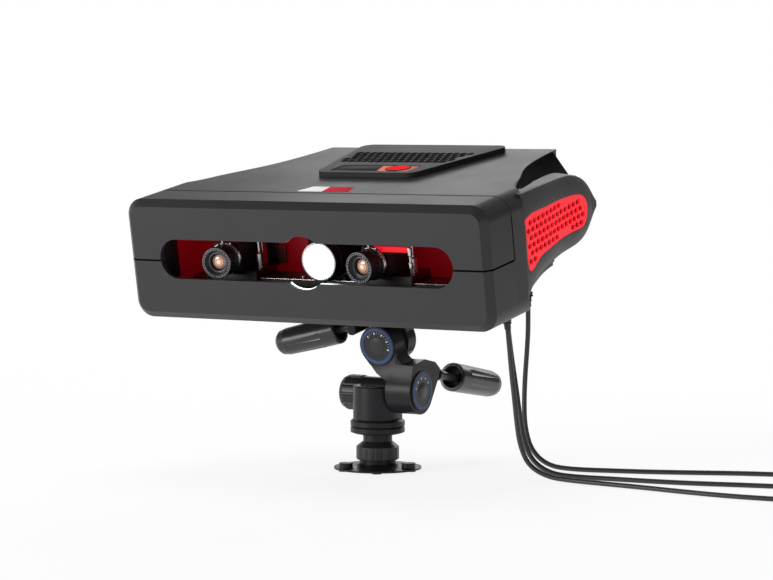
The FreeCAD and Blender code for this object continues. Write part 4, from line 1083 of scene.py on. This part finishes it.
def make_camera_fittings():
    """The thumb screw and its red strap at the right camera, and each lens's lock screws."""
    steel, body = FINISHES["steel"], "carriage_right"
    strap_place = SCANNER_MM @ move(84, 33.5, 7.5)
    # The strap takes the grille's red, with its painted glow.
    strap = brick(42, 3, 5.5, 0.5)
    finish_form("strap_right", strap, strap_place, FINISHES["grille_red"], body, "rail_grey")
    screw_place = SCANNER_MM @ move(106, 30, 1)
    screw = spun(THUMB_SCREW, 0.15, 32)
    finish_form("thumb_screw_right", screw, screw_place, steel, body, "rail_grey")
    for side in SIDES:
        top = move(0, -14.5, 18) @ turn(90, "X")
        pins = joined(
            (spun(LOCK_HEAD, 0.1, 20), top),
            (spun(LOCK_STUB, 0.1, 20), turn(28, "Z") @ top),
        )
        barrel = BODY_OF["lens_barrel_" + side]
        finish_form("lens_locks_" + side, pins, lens_place(side), steel, barrel, "optics_black")


# ---------------------------------------------------------------- rear panel

PORT_XS, PORT_Z = (40, 64), -28
BUTTON = (70, 18)
FAN = (-62, 4)
GUARD_RADII = (23.4, 27.2)
GUARD_WIRE = 1.0
GUARD_ARMS = 4
ARM_REACH, SCREW_REACH = 25.8, 31.5


def make_rear():
    """Rims of the ports and the button, the fan's guard rings, and a bare rating plate."""

    def at_rear(x, z):
        return move(x, REAR_FACE, z) @ turn(-90, "X")

    def ring(inner, outer, height):
        return washer(inner, outer, 0, height, 0.12, 48)

    bright = [(ring(6.0, 8.2, 1.1), at_rear(x, PORT_Z)) for x in PORT_XS]
    bright += [(ring(8.9, 10.4, 0.8), at_rear(*BUTTON))]
    finish_form("rear_rims", joined(*bright), SCANNER_MM, FINISHES["steel"], "head", "shell_black")
    guard = [(ring(r, r + GUARD_WIRE, GUARD_WIRE), at_rear(*FAN)) for r in GUARD_RADII]
    arms = [at_rear(*FAN) @ turn(45 + 360 / GUARD_ARMS * k, "Z") for k in range(GUARD_ARMS)]
    for arm in arms:
        guard.append((brick(4.0, 1.6, 0.9, 0.1), arm @ move(ARM_REACH)))
    for arm in arms:
        head = spun([(0, 0), (2.6, 0), (2.6, 1.0), (1.8, 1.5), (0, 1.5)], 0.1, 24)
        guard.append((head, arm @ move(SCREW_REACH)))
    black = FINISHES["steel_black"]
    finish_form("fan_guard", joined(*guard), SCANNER_MM, black, "head", "shell_black")
    plate = brick(54, 22, 0.4, 0.1)
    plate_place = SCANNER_MM @ at_rear(8, 26)
    finish_form("rating_plate", plate, plate_place, PLATE_GREY_AND_RIM_HIGHLIGHT, "head", "shell_black")


# ---------------------------------------------------------------- pods

# The pod's form from front to back, as (depth, outer face, top crease, lower edge).
POD_EDGE = [
    (77, 207.5, 59, -52), (96, 205.5, 57.8, -42), (112, 203.5, 57, -35.5), (143, 199.5, 55.5, -31),
    (187, 193, 52.5, -28.5), (228, 188.5, 47, -28), (250, 186.3, 39, -24), (264, 185, 29.5, -17),
    (272, 184.3, 21, -9), (278, 184, 12, 1),
]


def pod_at(y):
    """Outer face, top crease and lower edge of the pod at a depth."""
    for near, far in zip(POD_EDGE, POD_EDGE[1:]):
        if y <= far[0]:
            share = max(0, (y - near[0]) / (far[0] - near[0]))
            return [a + (b - a) * share for a, b in zip(near[1:], far[1:])]
    return list(POD_EDGE[-1][1:])


def paint_scoop_shade(item, side):
    """Painted shade: matt black on the pod's faces above its crease that look up and outwards,
    where the scoop lies in deep shade.
    """
    to_scanner = SCANNER_MM.inverted()
    item.data.materials.append(PAINTED_SHADE_BLACK)
    for polygon in item.data.polygons:
        centre = to_scanner @ (polygon.center / MM)
        normal = to_scanner.to_3x3() @ polygon.normal
        crease = pod_at(centre.y)[1]
        if centre.z > crease + 1 and normal.x * side > 0.1 and normal.z > 0.1:
            polygon.material_index = 1


def grille_shade_sheet(side):
    """A sheet that follows the pod a little inside its outer face, carrying the painted shade seen
    through the grille's holes.
    """
    bm = bmesh.new()
    rows = []
    for y in range(78, 266, 6):
        x, top, low = pod_at(y)
        inset = min(12, (top - low) / 3)
        heights = (low + inset - 3, top - inset / 2 + 3)
        rows.append([bm.verts.new((side * (x - 3.5), y, z)) for z in heights])
    for near, far in zip(rows, rows[1:]):
        bm.faces.new((near[0], far[0], far[1], near[1]))
    bmesh.ops.solidify(bm, geom=bm.faces[:], thickness=0.4)
    bmesh.ops.recalc_face_normals(bm, faces=bm.faces)
    return bm


# A brass stud at the back of each scoop.
STUD = [(0, 0), (3.4, 0), (3.4, 1.4), (2.2, 2), (2.2, 4.5), (1.8, 5), (0, 5)]
STUD_PLACE = (163, 271, 33)


def make_pods():
    """The pods with their scoops in matt black as painted shade, and dark red sheets behind the
    grilles as painted shade in the holes.
    """
    x, y, z = STUD_PLACE
    for name, side in SIDES.items():
        paint_scoop_shade(refined("side_pod_" + name, limit=30), side)
        finish_form(
            "grille_backing_" + name,
            grille_shade_sheet(side),
            SCANNER_MM,
            GRILLE_SHADE_RED,
            "head",
            "grille_red",
        )
        place = SCANNER_MM @ move(side * x, y, z) @ turn(-60, "X")
        finish_form("stud_" + name, spun(STUD, 0.2, 32), place, BRASS, "head", "steel")


# ---------------------------------------------------------------- cord ends and ties

GLAND_RIBS = 6
RIB_PITCH = 2.6
NUT_RADIUS = 7.4


def make_gland(name, x, y):
    """A ribbed strain relief with its nut, under the shell."""
    profile = [(0, -4), (4.4, -4), (4.4, 0), (7, 0), (7, 3), (6.4, 3.6), (4.7, 3.9)]
    for k in range(GLAND_RIBS):
        z = 5 + RIB_PITCH * k
        crest = 6.0 if k in (2, 3) else 4.8 - 0.1 * k
        root = 3.9 - 0.1 * k
        profile += [(crest, z), (crest, z + 1.5), (root, z + 1.7), (root, z + 2.5)]
    profile += [(3.4, 21.5), (3.3, GLAND_LENGTH), (0, GLAND_LENGTH)]
    sixths = [k * math.pi / 3 for k in range(6)]
    corners = [(NUT_RADIUS * math.cos(a), NUT_RADIUS * math.sin(a)) for a in sixths]
    place = SCANNER_MM @ move(x, y, -HALF_HEIGHT) @ turn(180, "X")
    forms = joined((spun(profile, 0.12, 36), None), (slab(corners, 0.2, 2.6, 0.3), None))
    rubber = FINISHES["gland_black"]
    return finish_form(
        name + "_gland", forms, place, rubber, "head", "gland_black", "cable_glands"
    )


# The plug's middle, from the coil's centre, and its outline with the cord's end at the top.
PLUG_ASIDE, PLUG_BACK = 46, -5
PLUG_OUTLINE = [
    (-4.2, 17), (4.2, 17), (6, 10), (6, -15), (5, -17), (-5, -17), (-6, -15), (-6, 10),
]
PLUG_HEIGHT = 6.9
PLUG_RIBS = 5

# A tie's section over the coil, as (distance from the coil's centre, height), and the
# directions in which the two ties lie.
TIE_SECTION = [
    (14.6, 0.3), (14.6, 10.6), (15.4, 11.2), (40.4, 11.2), (41.6, 10.2), (41.6, 0.3),
    (41, 0.3), (41, 9.9), (40.2, 10.6), (15.6, 10.6), (15.2, 10.2), (15.2, 0.3),
]
TIE_ANGLES = (200, 335)


def make_plug(name, centre):
    """A ribbed moulded plug with its metal tip, and two ties round the coil."""
    rubber = FINISHES["gland_black"]
    x, y = centre[0] + PLUG_ASIDE, centre[1] + PLUG_BACK
    parts = [(slab(PLUG_OUTLINE, 0.1, PLUG_HEIGHT, 0.9, 3), move(x, y))]
    for k in range(PLUG_RIBS):
        rib = brick(12.1, 1.1, PLUG_HEIGHT, 0.25)
        parts.append((rib, move(x, y - 8 + 3.2 * k, 0.05)))
    body = finish_form(
        name + "_plug", joined(*parts), Matrix(), rubber, "bracket", "gland_black", "cord_plugs"
    )
    parts = [(brick(9, 12, 4.4, 0.3), move(x, y - 23, 1.3))]
    for aside in (-2, 2):
        parts.append((brick(1.6, 2.4, 0.2, 0.05), move(x + aside, y - 22, 5.65)))
    steel = FINISHES["steel"]
    tip = finish_form(
        name + "_plug_tip", joined(*parts), Matrix(), steel, "bracket", "gland_black", "cord_plugs"
    )
    parts = []
    for angle in TIE_ANGLES:
        place = move(*centre) @ turn(angle, "Z")
        parts.append((slab(TIE_SECTION, -1.6, 1.6, 0.1), place @ turn(90, "X")))
        parts.append((brick(5, 4.4, 2.4, 0.4), place @ move(27, 0, 11)))
    ties = finish_form(name + "_ties", joined(*parts), Matrix(), rubber, "bracket", "gland_black")
    return [body, tip, ties]


# ---------------------------------------------------------------- running order

make_camera()
make_studio()
finish_nodes()
make_cords()
for shell, bevel in BROKEN_CORNERS.items():
    refined(shell, bevel)
make_labels()
make_dial("roll_dial", ROLL_DIAL, first=-15, last=135)
make_dial("tilt_dial", TILT_DIAL, first=25, last=155)
for camera_side in SIDES:
    make_lens(camera_side)
make_projector_front()
make_notch_glow()
make_seam_shadows()
make_fittings()
make_camera_fittings()
make_rear()
make_pods()
